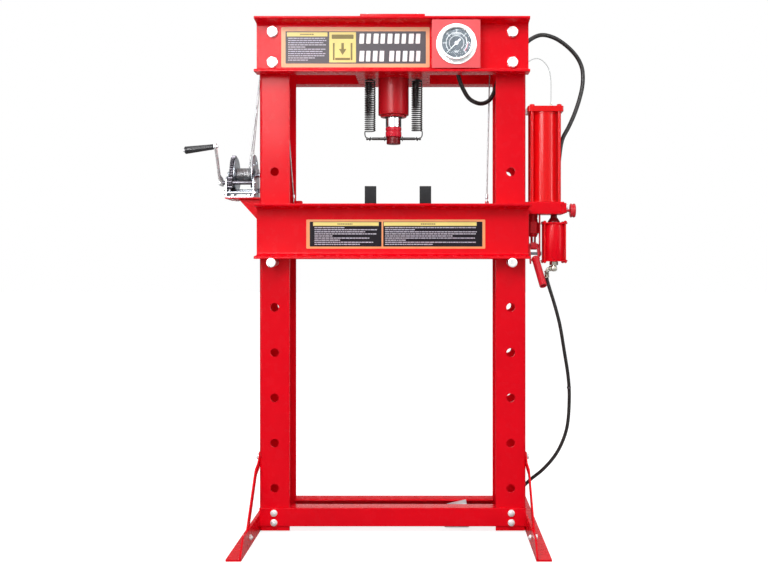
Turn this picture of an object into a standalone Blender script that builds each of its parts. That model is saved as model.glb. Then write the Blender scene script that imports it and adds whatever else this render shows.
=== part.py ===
# Workshop press with an H-frame: two columns, a fixed upper beam pair that
# carries a hydraulic ram, and a lower bed that a hand winch lifts and two
# pins hold.  An air-driven oil pump with a hand lever hangs on the right
# column, and its air comes from a foot valve on the floor.
#
# X runs across the frame from left to right, Y from front to rear, Z is up.
# The origin is on the floor, midway between the columns.  Lengths are in
# millimetres and MM turns them into metres.
import math
from collections import namedtuple

import bmesh
import bpy
from mathutils import Matrix, Vector

MM = 0.001
GAP = 0.3                       # play left between neighbouring pieces
FIT = 0.6                       # radial play between ram parts
SIDES = (("left", -1), ("right", 1))        # sign of X
ENDS = (("front", -1), ("rear", 1))         # sign of Y
X_AXIS, Y_AXIS, Z_AXIS = (1, 0, 0), (0, 1, 0), (0, 0, 1)

# ---- driving dimensions -------------------------------------------------
OPENING = 720.0                 # clear width between the columns
COLUMN_WIDTH = 105.0            # flange width of a column
COLUMN_DEPTH = 186.0            # front face to rear face
COLUMN_WALL = 8.0
COLUMN_BOTTOM, COLUMN_TOP = 6.0, 1775.0
PIN_HOLE_X = 412.5              # bed pin holes, centre from the mid plane
PIN_HOLE_RADIUS = 15.0
PIN_HOLE_FIRST = 154.0
PIN_HOLE_PITCH = 158.0
PIN_HOLE_COUNT = 8
BEAM_HALF_LENGTH = 474.0
BEAM_FLANGE = 70.0
BEAM_WEB = 8.0
UPPER_BEAM_BOTTOM = 1598.0
BEAM_HEIGHT = 190.0
BED_BOTTOM = 955.3
BOLT_X = 418.0
BOLT_HEIGHTS = (1640.0, 1746.0)
TOTAL_TOP = 1808.0
GAUGE_X, GAUGE_Z = 221.0, 1692.0

INNER_X = OPENING / 2                       # inner face of a column
OUTER_X = INNER_X + COLUMN_WIDTH            # outer face of a column
FACE_Y = COLUMN_DEPTH / 2                   # front and rear column faces
BED_TOP = BED_BOTTOM + BEAM_HEIGHT

Look = namedtuple("Look", "colour roughness metallic")
RED = Look((0.84, 0.012, 0.016), roughness=0.32, metallic=0.0)
DARK_RED = Look((0.55, 0.010, 0.016), roughness=0.35, metallic=0.0)
ZINC = Look((0.72, 0.74, 0.76), roughness=0.30, metallic=1.0)
STEEL = Look((0.60, 0.60, 0.60), roughness=0.35, metallic=1.0)
CHROME = Look((0.85, 0.85, 0.87), roughness=0.08, metallic=1.0)
BLACK = Look((0.020, 0.020, 0.022), roughness=0.45, metallic=0.0)
RUBBER = Look((0.030, 0.029, 0.028), roughness=0.6, metallic=0.0)
SPRING = Look((0.045, 0.040, 0.038), roughness=0.40, metallic=0.8)
ALLOY = Look((0.66, 0.67, 0.69), roughness=0.38, metallic=1.0)
WHITE = Look((0.90, 0.90, 0.90), roughness=0.40, metallic=0.0)

for old in list(bpy.data.objects):
    bpy.data.objects.remove(old, do_unlink=True)


# ---- objects ------------------------------------------------------------
def new_object(name, builder):
    """Link an object made from a bmesh, which is used up."""
    bmesh.ops.recalc_face_normals(builder, faces=builder.faces)
    mesh = bpy.data.meshes.new(name)
    builder.to_mesh(mesh)
    builder.free()
    obj = bpy.data.objects.new(name, mesh)
    bpy.context.scene.collection.objects.link(obj)
    return obj


def new_material(name, look):
    material = bpy.data.materials.new(name)
    material.use_nodes = True
    inputs = material.node_tree.nodes["Principled BSDF"].inputs
    inputs["Base Color"].default_value = (*look.colour, 1.0)
    inputs["Roughness"].default_value = look.roughness
    inputs["Metallic"].default_value = look.metallic
    return material


def shade(obj):
    """Smooth the edges flatter than the object's angle; 0 leaves it faceted."""
    angle = obj["smooth_angle"]
    if angle > 0:
        obj.data.shade_smooth()
        obj.data.set_sharp_from_angle(angle=math.radians(angle))


def make(name, builder, look, smooth=35.0):
    """Turn a bmesh into a named object with its own paint or metal."""
    obj = new_object(name, builder)
    obj.data.materials.append(new_material(name + "_finish", look))
    obj["smooth_angle"] = smooth
    shade(obj)
    return obj


def place(obj, x, y, z):
    """Move an object's origin to a point on its joint axis."""
    point = Vector((x, y, z)) * MM
    obj.data.transform(Matrix.Translation(-point))
    obj.location = point


def combine(target, builder, operation):
    """Apply a boolean step to the target and delete the tool."""
    tool = new_object("tool", builder)
    tool_mesh = tool.data
    step = target.modifiers.new("step", "BOOLEAN")
    step.operation = operation
    step.solver = "EXACT"
    step.object = tool
    depsgraph = bpy.context.evaluated_depsgraph_get()
    result = bpy.data.meshes.new_from_object(target.evaluated_get(depsgraph))
    target.modifiers.clear()
    old_mesh = target.data
    name = old_mesh.name
    target.data = result
    bpy.data.meshes.remove(old_mesh)
    result.name = name
    bpy.data.objects.remove(tool, do_unlink=True)
    bpy.data.meshes.remove(tool_mesh)
    shade(target)


def cut(target, builder):
    combine(target, builder, "DIFFERENCE")


def weld(target, builder):
    combine(target, builder, "UNION")


# ---- outlines -----------------------------------------------------------
def span(side, near, far):
    """Range between two distances from a mid plane, on the side of the sign."""
    return sorted((side * near, side * far))


def circle(radius, segments, centre_u=0.0, centre_v=0.0):
    return [(centre_u + radius * math.cos(2 * math.pi * k / segments),
             centre_v + radius * math.sin(2 * math.pi * k / segments))
            for k in range(segments)]


def fillet(points, radii, segments=3):
    """Round the corners of an outline; a radius of 0 keeps a corner."""
    outline = []
    for i, (corner, radius) in enumerate(zip(points, radii)):
        if radius <= 0:
            outline.append(tuple(corner))
            continue
        here = Vector(corner)
        back = (Vector(points[i - 1]) - here).normalized()
        ahead = (Vector(points[(i + 1) % len(points)]) - here).normalized()
        half = back.angle(ahead) / 2
        reach = radius / math.tan(half)
        centre = here + (back + ahead).normalized() * radius / math.sin(half)
        first = here + back * reach - centre
        last = here + ahead * reach - centre
        turn = first.angle_signed(last)
        for k in range(segments + 1):
            angle = -turn * k / segments
            cosine, sine = math.cos(angle), math.sin(angle)
            outline.append((centre.x + first.x * cosine - first.y * sine,
                            centre.y + first.x * sine + first.y * cosine))
    return outline


# ---- solids: each returns a bmesh, or adds to the one it is given -------
def box(x0, x1, y0, y1, z0, z1):
    builder = bmesh.new()
    corners = [builder.verts.new(Vector((x, y, z)) * MM)
               for x in (x0, x1) for y in (y0, y1) for z in (z0, z1)]
    for face in ((0, 1, 3, 2), (4, 6, 7, 5), (0, 4, 5, 1), (2, 3, 7, 6),
                 (0, 2, 6, 4), (1, 5, 7, 3)):
        builder.faces.new([corners[i] for i in face])
    return builder


def prism(outline, axis, low, high, builder=None):
    """Extrude a closed outline.  X takes (y, z), Y takes (x, z), Z (x, y)."""
    builder = builder or bmesh.new()

    def ring(level):
        points = [{"X": (level, u, v), "Y": (u, level, v), "Z": (u, v, level)}[axis]
                  for u, v in outline]
        return [builder.verts.new(Vector(point) * MM) for point in points]

    lower, upper = ring(low), ring(high)
    builder.faces.new(lower)
    builder.faces.new(upper[::-1])
    for i in range(len(outline)):
        j = (i + 1) % len(outline)
        builder.faces.new((lower[i], upper[i], upper[j], lower[j]))
    return builder


def turned(profile, direction, centre, segments=24):
    """Revolve (radius, height along the axis) points; the loop closes itself."""
    builder = bmesh.new()
    turn = Vector(Z_AXIS).rotation_difference(Vector(direction))
    centre = Vector(centre)
    rings = []
    for radius, height in profile:
        if radius < 1e-6:
            point = centre + turn @ Vector((0, 0, height))
            rings.append([builder.verts.new(point * MM)])
            continue
        points = [centre + turn @ Vector((x, y, height)) for x, y in circle(radius, segments)]
        rings.append([builder.verts.new(point * MM) for point in points])
    for i, one in enumerate(rings):
        two = rings[(i + 1) % len(rings)]
        if len(one) == 1 and len(two) == 1:
            continue
        for k in range(segments):
            j = (k + 1) % segments
            if len(one) == 1:
                builder.faces.new((one[0], two[k], two[j]))
            elif len(two) == 1:
                builder.faces.new((one[k], two[0], one[j]))
            else:
                builder.faces.new((one[k], two[k], two[j], one[j]))
    return builder


def rod(start, end, radius, segments=16):
    way = Vector(end) - Vector(start)
    length = way.length
    return turned([(0, length), (radius, length), (radius, 0), (0, 0)],
                  way, start, segments)


def skin(builder, rings):
    """Join equal rings of vertices into a tube with closed ends."""
    sides = len(rings[0])
    for one, two in zip(rings, rings[1:]):
        for k in range(sides):
            j = (k + 1) % sides
            builder.faces.new((one[k], one[j], two[j], two[k]))
    builder.faces.new(rings[0][::-1])
    builder.faces.new(rings[-1])
    return builder


def swept(path, radii, sides):
    """Round bar or hose along a line; radii is a number or one per point."""
    builder = bmesh.new()
    path = [Vector(point) for point in path]
    if not isinstance(radii, list):
        radii = [radii] * len(path)
    tangents = [(path[min(i + 1, len(path) - 1)] - path[max(i - 1, 0)]).normalized()
                for i in range(len(path))]
    across = tangents[0].orthogonal().normalized()
    rings = []
    for i, (point, tangent, radius) in enumerate(zip(path, tangents, radii)):
        if i:
            across = tangents[i - 1].rotation_difference(tangent) @ across
        across = (across - tangent * across.dot(tangent)).normalized()
        up = tangent.cross(across)
        rings.append([builder.verts.new(
            (point + (across * math.cos(2 * math.pi * k / sides)
                      + up * math.sin(2 * math.pi * k / sides)) * radius) * MM)
            for k in range(sides)])
    return skin(builder, rings)


def flat_bar(stations, thickness):
    """Flat bar whose faces look along X: stations are (x, y, z, half width)."""
    builder = bmesh.new()
    half_thick = thickness / 2
    rings = []
    for i, (x, y, z, half_width) in enumerate(stations):
        before, after = stations[max(i - 1, 0)], stations[min(i + 1, len(stations) - 1)]
        along = Vector((after[1] - before[1], after[2] - before[2])).normalized()
        across = Vector((-along.y, along.x)) * half_width
        rings.append([builder.verts.new(
            Vector((x + sx * half_thick, y + sy * across.x, z + sy * across.y)) * MM)
            for sx, sy in ((-1, -1), (1, -1), (1, 1), (-1, 1))])
    return skin(builder, rings)


# ---- columns ------------------------------------------------------------
BOLT_HOLE_RADIUS = 13.2
WINDOW_Y = (-40, 84)                        # opening in the column web
WINDOW_Z = (1632, 1768)


def column(name, side):
    """Channel that opens towards the mid plane."""
    web = OUTER_X - COLUMN_WALL
    lip = FACE_Y - COLUMN_WALL
    outline = fillet([(OUTER_X, -FACE_Y), (OUTER_X, FACE_Y), (INNER_X, FACE_Y),
                      (INNER_X, lip), (web, lip), (web, -lip),
                      (INNER_X, -lip), (INNER_X, -FACE_Y)],
                     [9, 9, 0, 0, 3, 3, 0, 0])
    outline = [(side * x, y) for x, y in outline]
    obj = make(name, prism(outline, "Z", COLUMN_BOTTOM, COLUMN_TOP), RED)
    reach = FACE_Y + 5
    holes = bmesh.new()
    for i in range(PIN_HOLE_COUNT):
        z = PIN_HOLE_FIRST + PIN_HOLE_PITCH * i
        prism(circle(PIN_HOLE_RADIUS, 12, side * PIN_HOLE_X, z), "Y", -reach, reach, holes)
    for z in BOLT_HEIGHTS:
        prism(circle(BOLT_HOLE_RADIUS, 8, side * BOLT_X, z), "Y", -reach, reach, holes)
    cut(obj, holes)
    cut(obj, box(*span(side, web - 6, OUTER_X + 5), *WINDOW_Y, *WINDOW_Z))


for label, side in SIDES:
    column("column_" + label, side)


# ---- rolled channels ----------------------------------------------------
FLANGE_TIP, FLANGE_ROOT = 9, 14             # flange thickness at edge and web
HOSE_HOLE_RADIUS = 14                       # behind the gauge


def channel(name, side, bottom):
    """Channel with its web against the column faces and flanges outward."""
    back = FACE_Y + GAP
    front = back + BEAM_WEB
    lip = back + BEAM_FLANGE
    top = bottom + BEAM_HEIGHT
    outline = fillet([(back, bottom), (back, top), (lip, top), (lip, top - FLANGE_TIP),
                      (front, top - FLANGE_ROOT), (front, bottom + FLANGE_ROOT),
                      (lip, bottom + FLANGE_TIP), (lip, bottom)],
                     [0, 0, 0, 5, 9, 9, 5, 0])
    outline = [(side * y, z) for y, z in outline]
    return make(name, prism(outline, "X", -BEAM_HALF_LENGTH, BEAM_HALF_LENGTH), RED)


for label, side in ENDS:
    beam = channel("upper_beam_" + label, side, UPPER_BEAM_BOTTOM)
    through_web = span(side, FACE_Y - 4, FACE_Y + 14)
    holes = bmesh.new()
    for x in (-BOLT_X, BOLT_X):
        for z in BOLT_HEIGHTS:
            prism(circle(BOLT_HOLE_RADIUS, 8, x, z), "Y", *through_web, holes)
    if label == "front":
        prism(circle(HOSE_HOLE_RADIUS, 12, GAUGE_X, GAUGE_Z), "Y", *through_web, holes)
    cut(beam, holes)

for label, side in ENDS:
    channel("bed_channel_" + label, side, BED_BOTTOM)

# ---- bed spacers, each with a lug for a lift cable ----------------------
SPACER_NEAR, SPACER_FAR = 329, 341          # distances from the mid plane
LUG_Y = 70
LUG_BOTTOM, LUG_TOP = 1098, 1168
LUG_X = {"left": (-372, -334), "right": (331.5, 345)}

for label, side in SIDES:
    spacer = make("bed_spacer_" + label,
                  box(*span(side, SPACER_NEAR, SPACER_FAR), -FACE_Y, FACE_Y,
                      BED_BOTTOM + 20, BED_TOP - 20), RED, 0)
    weld(spacer, box(*LUG_X[label], LUG_Y - 4, LUG_Y + 4, LUG_BOTTOM, LUG_TOP))


# ---- frame bolts --------------------------------------------------------
def frame_bolt(name, x, z):
    """Bolt through both beams, head in front and nut behind."""
    seat = FACE_Y + GAP + BEAM_WEB + GAP
    shank = [(0, 132), (10, 132), (12, 130), (12, -seat), (0, -seat)]
    obj = make(name, turned(shank, Y_AXIS, (x, 0, z), 8), ZINC)
    hexagon = circle(19.8, 6, x, z)
    weld(obj, prism(hexagon, "Y", -seat - 15, -seat))
    weld(obj, prism(hexagon, "Y", seat, seat + 19))


for label, side in SIDES:
    for level, z in zip(("lower", "upper"), BOLT_HEIGHTS):
        frame_bolt("beam_bolt_%s_%s" % (label, level), side * BOLT_X, z)

# ---- base ---------------------------------------------------------------
BASE_PLATE = 6                              # thickness of rails and feet
FOOT_HALF_LENGTH = 453.0
FOOT_HEIGHT, FOOT_TOE, FOOT_SLOPE = 63, 12, 52
FOOT_FLANGE_X = 515.0                       # outer edge of the floor flange
BRACE_THICKNESS = 5
BRACE_TOP = Vector((68.0, 262.0))           # (distance from mid depth, z)
BRACE_LOW = Vector((307.0, 31.0))

for label, side in ENDS:
    back = FACE_Y + GAP
    rail = make("base_rail_" + label,
                box(-OUTER_X, OUTER_X, *span(side, back, back + BASE_PLATE), 22, 86.5), RED, 0)
    weld(rail, box(-INNER_X + 1, INNER_X - 1, *span(side, back + 4, FACE_Y - 57), 80.5, 86))

for label, side in SIDES:
    end, near = FOOT_HALF_LENGTH, OUTER_X + GAP
    outline = [(-end, 0), (end, 0), (end, FOOT_TOE), (end - FOOT_SLOPE, FOOT_HEIGHT),
               (-end + FOOT_SLOPE, FOOT_HEIGHT), (-end, FOOT_TOE)]
    foot = make("foot_" + label, prism(outline, "X", *span(side, near, near + BASE_PLATE)),
                RED, 0)
    weld(foot, box(*span(side, near + 3, FOOT_FLANGE_X), -end, end, 0, 5.8))


def brace(name, side, way):
    """Bar from the column down to the foot, cranked to pass outside the foot."""
    on_column = side * (OUTER_X + GAP + BRACE_THICKNESS / 2)
    on_foot = side * (OUTER_X + GAP + BASE_PLATE + GAP + BRACE_THICKNESS / 2)
    # fraction of the length, x, half width
    rows = [(-0.036, on_column, 7), (-0.015, on_column, 13), (0.0, on_column, 15),
            (0.10, on_column, 15), (0.22, on_foot, 15), (1.0, on_foot, 15),
            (1.015, on_foot, 13), (1.036, on_foot, 7)]
    stations = []
    for fraction, x, half_width in rows:
        point = BRACE_TOP + (BRACE_LOW - BRACE_TOP) * fraction
        stations.append((x, way * point.x, point.y, half_width))
    make(name, flat_bar(stations, BRACE_THICKNESS), RED, 0)


for label, side in SIDES:
    for where, way in ENDS:
        brace("brace_%s_%s" % (label, where), side, way)

# ---- ram, profiles are (radius, z) --------------------------------------
CYLINDER_RADIUS, BORE_RADIUS = 54.5, 40.0
CYLINDER_BOTTOM = 1469.0
ROD_RADIUS = 28.0
PISTON_RADIUS = BORE_RADIUS - FIT
PISTON_TOP, PISTON_BOTTOM = 1732, 1692
HEAD_TOP, NOSE_BOTTOM = 1426, 1366.0
SPRING_BAR_Z = 1386.0
SPRING_BAR_RADIUS, SPRING_BAR_HALF = 4.5, 98
PLATE = 20                                  # thickness of both cylinder plates

top = TOTAL_TOP - PLATE
make("ram_cylinder", turned(
    [(0, top), (CYLINDER_RADIUS, top), (CYLINDER_RADIUS, CYLINDER_BOTTOM + 4),
     (CYLINDER_RADIUS - 3, CYLINDER_BOTTOM), (BORE_RADIUS, CYLINDER_BOTTOM),
     (BORE_RADIUS, top - 26), (0, top - 26)], Z_AXIS, (0, 0, 0), 32), DARK_RED)
make("ram_gland", turned(
    [(47, CYLINDER_BOTTOM - GAP), (45, CYLINDER_BOTTOM - 7),
     (ROD_RADIUS + FIT, CYLINDER_BOTTOM - 7), (ROD_RADIUS + FIT, CYLINDER_BOTTOM + 32),
     (PISTON_RADIUS, CYLINDER_BOTTOM + 32), (PISTON_RADIUS, CYLINDER_BOTTOM - GAP)],
    Z_AXIS, (0, 0, 0)), DARK_RED)

ram = make("ram_rod", turned(
    [(0, PISTON_TOP), (PISTON_RADIUS, PISTON_TOP), (PISTON_RADIUS, PISTON_BOTTOM),
     (ROD_RADIUS, PISTON_BOTTOM), (ROD_RADIUS, HEAD_TOP + GAP), (0, HEAD_TOP + GAP)],
    Z_AXIS, (0, 0, 0)), CHROME)
place(ram, 0, 0, HEAD_TOP)

head = make("ram_head", turned(
    [(0, HEAD_TOP), (28.5, HEAD_TOP), (28.5, 1414), (27.5, 1412.5), (28.5, 1411),
     (28.5, 1392), (25, 1389), (25, NOSE_BOTTOM + 3), (22, NOSE_BOTTOM),
     (0, NOSE_BOTTOM)], Z_AXIS, (0, 0, 0)), DARK_RED)
cut(head, rod((-40, 0, SPRING_BAR_Z), (40, 0, SPRING_BAR_Z), 5.2, 12))
place(head, 0, 0, HEAD_TOP)

bar = make("spring_bar", rod((-SPRING_BAR_HALF, 0, SPRING_BAR_Z),
                             (SPRING_BAR_HALF, 0, SPRING_BAR_Z),
                             SPRING_BAR_RADIUS, 12), STEEL)
place(bar, 0, 0, SPRING_BAR_Z)

make("cylinder_top_plate", box(-113, 113, -110, 110, top + GAP, TOTAL_TOP), RED, 0)
seat = make("cylinder_seat_plate", box(-130, 130, -FACE_Y, FACE_Y, UPPER_BEAM_BOTTOM,
                                       UPPER_BEAM_BOTTOM + PLATE), RED, 0)
cut(seat, rod((0, 0, UPPER_BEAM_BOTTOM - 10), (0, 0, UPPER_BEAM_BOTTOM + 40),
              CYLINDER_RADIUS + FIT, 32))

# ---- return springs -----------------------------------------------------
SPRING_X = 84.0
COILS, COIL_STEPS = 10, 6
COIL_RADIUS, WIRE_RADIUS = 17.0, 2.4
COIL_TOP, COIL_LOW = 1586.0, 1418.0
HOOK_STEPS = 6


def return_spring(name, x):
    """Pull spring with a hook round the bar."""
    path = [Vector((x, 0, UPPER_BEAM_BOTTOM - 1.0)), Vector((x, 0, COIL_TOP + 5))]
    steps = COILS * COIL_STEPS
    for k in range(steps + 1):
        angle = 2 * math.pi * k / COIL_STEPS
        path.append(Vector((x + COIL_RADIUS * math.cos(angle), COIL_RADIUS * math.sin(angle),
                            COIL_TOP + (COIL_LOW - COIL_TOP) * k / steps)))
    path.append(Vector((x + COIL_RADIUS * 0.5, 5, COIL_LOW - 8)))
    reach = SPRING_BAR_RADIUS + WIRE_RADIUS + 0.9
    path.append(Vector((x, reach, SPRING_BAR_Z + 8)))
    for k in range(HOOK_STEPS + 1):
        angle = -math.radians(200) * k / HOOK_STEPS
        path.append(Vector((x, reach * math.cos(angle),
                            SPRING_BAR_Z + reach * math.sin(angle))))
    make(name, swept(path, WIRE_RADIUS, 5), SPRING, 60)


for label, side in SIDES:
    return_spring("return_spring_" + label, side * SPRING_X)

# ---- gauge --------------------------------------------------------------
PANEL_LEFT, PANEL_RIGHT, PANEL_SHEET = 137, 303, 3
PANEL_FRONT = -163
NEEDLE_ANGLE = math.radians(225)            # from +X towards +Z
NEEDLE_HUB_RADIUS = 6

panel = make("gauge_panel", box(PANEL_LEFT, PANEL_RIGHT, PANEL_FRONT,
                                PANEL_FRONT + PANEL_SHEET, 1610, 1776), RED, 0)
for x in (PANEL_LEFT, PANEL_RIGHT - PANEL_SHEET):
    weld(panel, box(x, x + PANEL_SHEET, -161, -101.8, 1628, 1758))
cut(panel, prism(circle(50.5, 32, GAUGE_X, GAUGE_Z), "Y", -170, -150))

make("gauge_case", turned(                  # (radius, y)
    [(0, -74), (11, -74), (11, -112), (49, -112), (49, PANEL_FRONT - GAP),
     (70, PANEL_FRONT - GAP), (70, -166.3), (56, -166.3), (56, -186), (54, -188),
     (51, -188), (50, -177), (0, -177)], Y_AXIS, (GAUGE_X, 0, GAUGE_Z)), CHROME)


def hub_arc(start):
    """One side of the needle hub, as a 144 degree arc."""
    angles = [math.radians(start + 144 * k / 6) for k in range(7)]
    return [(NEEDLE_HUB_RADIUS * math.cos(angle), NEEDLE_HUB_RADIUS * math.sin(angle))
            for angle in angles]


def gauge_needle():
    outline = [(38.0, 0.0)] + hub_arc(18) + [(-13, 2.6), (-13, -2.6)] + hub_arc(198)
    cosine, sine = math.cos(NEEDLE_ANGLE), math.sin(NEEDLE_ANGLE)
    outline = [(GAUGE_X + u * cosine - v * sine, GAUGE_Z + u * sine + v * cosine)
               for u, v in outline]
    needle = make("gauge_needle", prism(outline, "Y", -181.5, -178), WHITE, 0)
    place(needle, GAUGE_X, -180, GAUGE_Z)


gauge_needle()

# ---- winch bracket and frame --------------------------------------------
DRUM_Y, DRUM_Z = 35.0, 1258.0
PINION_Y, PINION_Z = -45.5, 1225.0
AXLE_RADIUS, PINION_SHAFT_RADIUS = 8, 7
BORE_PLAY, HUB_PLAY = 0.8, 0.5              # radial, in the frame and on the shafts
SHELF_TOP = 1172
WINCH_SHEET = 4
FRAME_BOTTOM = SHELF_TOP + GAP

bracket = make("winch_bracket", box(-592, -466.5, -66, 70, SHELF_TOP - 4, SHELF_TOP), RED, 0)
weld(bracket, box(-470, -OUTER_X - GAP, -66, 70, 1080, 1171.5))
gusset = [(-468, 1170), (-545, 1170), (-468, 1088)]         # (x, z)
for y in (-50, 45):
    weld(bracket, prism(gusset, "Y", y, y + 5))

frame = make("winch_frame", box(-588.5, -491.5, -63, 63,
                                FRAME_BOTTOM, FRAME_BOTTOM + WINCH_SHEET), ZINC, 0)
cheek = fillet([(-62, 1173.5), (62, 1173.5), (62, 1225), (60, 1282), (14, 1282),
                (-28, 1246), (-62, 1246)], [0, 0, 0, 16, 14, 20, 12])    # (y, z)
for x in (-590, -494):
    weld(frame, prism(cheek, "X", x, x + WINCH_SHEET))
bores = bmesh.new()
for radius, y, z in ((AXLE_RADIUS, DRUM_Y, DRUM_Z),
                     (PINION_SHAFT_RADIUS, PINION_Y, PINION_Z)):
    prism(circle(radius + BORE_PLAY, 16, y, z), "X", -600, -480, bores)
cut(frame, bores)

# ---- winch drum and gears -----------------------------------------------
GEAR_MODULE, GEAR_TEETH, PINION_TEETH = 3.0, 46, 12
PRESSURE_ANGLE = math.radians(25)
BACKLASH = 0.6
GEAR_X = -576

drum = make("winch_drum", turned(           # (radius, x)
    [(0, -484), (AXLE_RADIUS, -484), (AXLE_RADIUS, -500), (74, -500), (74, -504),
     (21, -504), (21, -565), (64, -565), (64, -569), (12, -569), (12, -569.6),
     (AXLE_RADIUS, -569.6), (AXLE_RADIUS, -591.5), (0, -591.5)],
    X_AXIS, (0, DRUM_Y, DRUM_Z), 20), ZINC)
place(drum, -535, DRUM_Y, DRUM_Z)


def involute(angle):
    return math.tan(angle) - angle


def gear_outline(teeth, phase, centre_y, centre_z):
    """Stub involute teeth with straight flanks from root to tip."""
    pitch_radius = teeth * GEAR_MODULE / 2
    base_radius = pitch_radius * math.cos(PRESSURE_ANGLE)
    tip_radius = pitch_radius + 0.75 * GEAR_MODULE
    root_radius = pitch_radius - 1.1 * GEAR_MODULE
    half_at_pitch = (math.pi * GEAR_MODULE / 2 - BACKLASH) / 2 / pitch_radius
    flank = []                              # (radius, half tooth angle)
    for radius in (root_radius, tip_radius):
        local = math.acos(min(1.0, base_radius / max(radius, base_radius)))
        flank.append((radius, half_at_pitch + involute(PRESSURE_ANGLE) - involute(local)))
    outline = []
    for n in range(teeth):
        middle = phase + 2 * math.pi * n / teeth
        outline += [(radius, middle - half) for radius, half in flank]
        outline += [(radius, middle + half) for radius, half in reversed(flank)]
    return [(radius * math.cos(angle) + centre_y, radius * math.sin(angle) + centre_z)
            for radius, angle in outline]


# A tooth gap of the gear and a tooth of the pinion meet on the centre line.
toward_pinion = math.atan2(PINION_Z - DRUM_Z, PINION_Y - DRUM_Y)
outline = gear_outline(GEAR_TEETH, toward_pinion + math.pi / GEAR_TEETH, DRUM_Y, DRUM_Z)
gear = make("winch_gear", prism(outline, "X", GEAR_X - 6, GEAR_X + 6), ZINC, 30)
cut(gear, prism(circle(AXLE_RADIUS + HUB_PLAY, 16, DRUM_Y, DRUM_Z), "X", -590, -560))
place(gear, GEAR_X, DRUM_Y, DRUM_Z)

outline = gear_outline(PINION_TEETH, toward_pinion + math.pi, PINION_Y, PINION_Z)
pinion = make("winch_pinion_shaft", prism(outline, "X", GEAR_X - 8, GEAR_X + 8), STEEL, 30)
weld(pinion, rod((-616, PINION_Y, PINION_Z), (-486, PINION_Y, PINION_Z),
                 PINION_SHAFT_RADIUS))
place(pinion, GEAR_X, PINION_Y, PINION_Z)

# ---- winch crank --------------------------------------------------------
CRANK_X = -604
CRANK_LENGTH = 190.0
CRANK_WAY = Vector((-154.5, 110.8)).normalized()            # (y, z)
GRIP_TILT = math.radians(7)
GRIP_WAY = Vector((-math.cos(GRIP_TILT), 0, -math.sin(GRIP_TILT)))
GRIP_BASE = Vector((-597, PINION_Y + CRANK_WAY.x * CRANK_LENGTH,
                    PINION_Z + CRANK_WAY.y * CRANK_LENGTH))
CRANK_ROWS = (                              # distance from the shaft, x, half width
    (-14, CRANK_X, 5), (-10, CRANK_X, 10), (0, CRANK_X, 12), (12, CRANK_X, 12),
    (28, -609, 10), (100, -603.5, 10), (182, -597.5, 10), (192, -597, 10),
    (199, -596.6, 8), (203, -596.4, 4))

stations = [(x, PINION_Y + CRANK_WAY.x * distance, PINION_Z + CRANK_WAY.y * distance, half)
            for distance, x, half in CRANK_ROWS]
arm = make("winch_crank_arm", flat_bar(stations, 6), ZINC, 0)
cut(arm, rod((-640, PINION_Y, PINION_Z), (-580, PINION_Y, PINION_Z),
             PINION_SHAFT_RADIUS + HUB_PLAY))
weld(arm, rod(GRIP_BASE, GRIP_BASE + GRIP_WAY * 101, 4, 12))
place(arm, CRANK_X, PINION_Y, PINION_Z)

grip = make("winch_grip", turned(           # (radius, distance along the grip)
    [(4.5, 7), (8.5, 7), (9.5, 10), (11, 55), (12.6, 96), (12.6, 102.4),
     (11, 104.4), (4.5, 104.4)], GRIP_WAY, GRIP_BASE, 20), BLACK)
place(grip, *(GRIP_BASE + GRIP_WAY * 55))

# ---- pulleys ------------------------------------------------------------
PULLEY_RADIUS = 38.0                        # at the middle of the cable
PULLEY_Z = 1690.0
PULLEY_X = {"left": -444.0, "right": 312.0}
GROOVES = (66.0, 76.0)                      # y of the left and right cable


def pulley(name, x):
    hub, rim = PULLEY_RADIUS - 3.0, PULLEY_RADIUS + 4.0
    profile = [(0, 82), (7, 82), (7, 81), (rim, 81)]        # (radius, y)
    for y in reversed(GROOVES):
        profile += [(rim, y + 3.4), (hub, y + 2.6), (hub, y - 2.6), (rim, y - 3.4)]
    profile += [(rim, 60), (7, 60), (7, 52), (0, 52)]
    obj = make(name, turned(profile, Y_AXIS, (x, 0, PULLEY_Z), 16), ZINC)
    place(obj, x, 70, PULLEY_Z)


for label, x in PULLEY_X.items():
    pulley("top_pulley_" + label, x)

# ---- lift cables: drum to pulley, then down to the bed lug --------------
CABLE_RADIUS, FERRULE_RADIUS = 2.5, 4.5
DRUM_END_Y, DRUM_END_Z = DRUM_Y + 24.5, DRUM_Z + 2
FALL_END_X = {"left": -366, "right": 337.6}


def around(label, y, start, stop, steps):
    """Arc over a pulley, angles in degrees from +X towards +Z."""
    angles = [math.radians(start + (stop - start) * k / steps) for k in range(steps + 1)]
    return [(PULLEY_X[label] + PULLEY_RADIUS * math.cos(angle), y,
             PULLEY_Z + PULLEY_RADIUS * math.sin(angle)) for angle in angles]


left_run = [(-519, DRUM_END_Y, DRUM_END_Z)] + around("left", GROOVES[0], 180, 0, 12)
right_run = ([(-529, DRUM_END_Y, DRUM_END_Z)] + around("left", GROOVES[1], 180, 90, 6)
             + around("right", GROOVES[1], 90, 0, 6))
make("lift_cable_left_run", swept(left_run, CABLE_RADIUS, 8), STEEL)
make("lift_cable_right_run", swept(right_run, CABLE_RADIUS, 8), STEEL)

for (label, pulley_x), y in zip(PULLEY_X.items(), GROOVES):
    high = Vector((pulley_x + PULLEY_RADIUS, y, PULLEY_Z - 0.4))
    low = Vector((FALL_END_X[label], LUG_Y, LUG_TOP + 0.6))
    path = [high, high.lerp(low, 0.5), high.lerp(low, 0.955), high.lerp(low, 0.96), low]
    radii = [CABLE_RADIUS] * 3 + [FERRULE_RADIUS] * 2
    make("lift_cable_%s_fall" % label, swept(path, radii, 8), STEEL)

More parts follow.
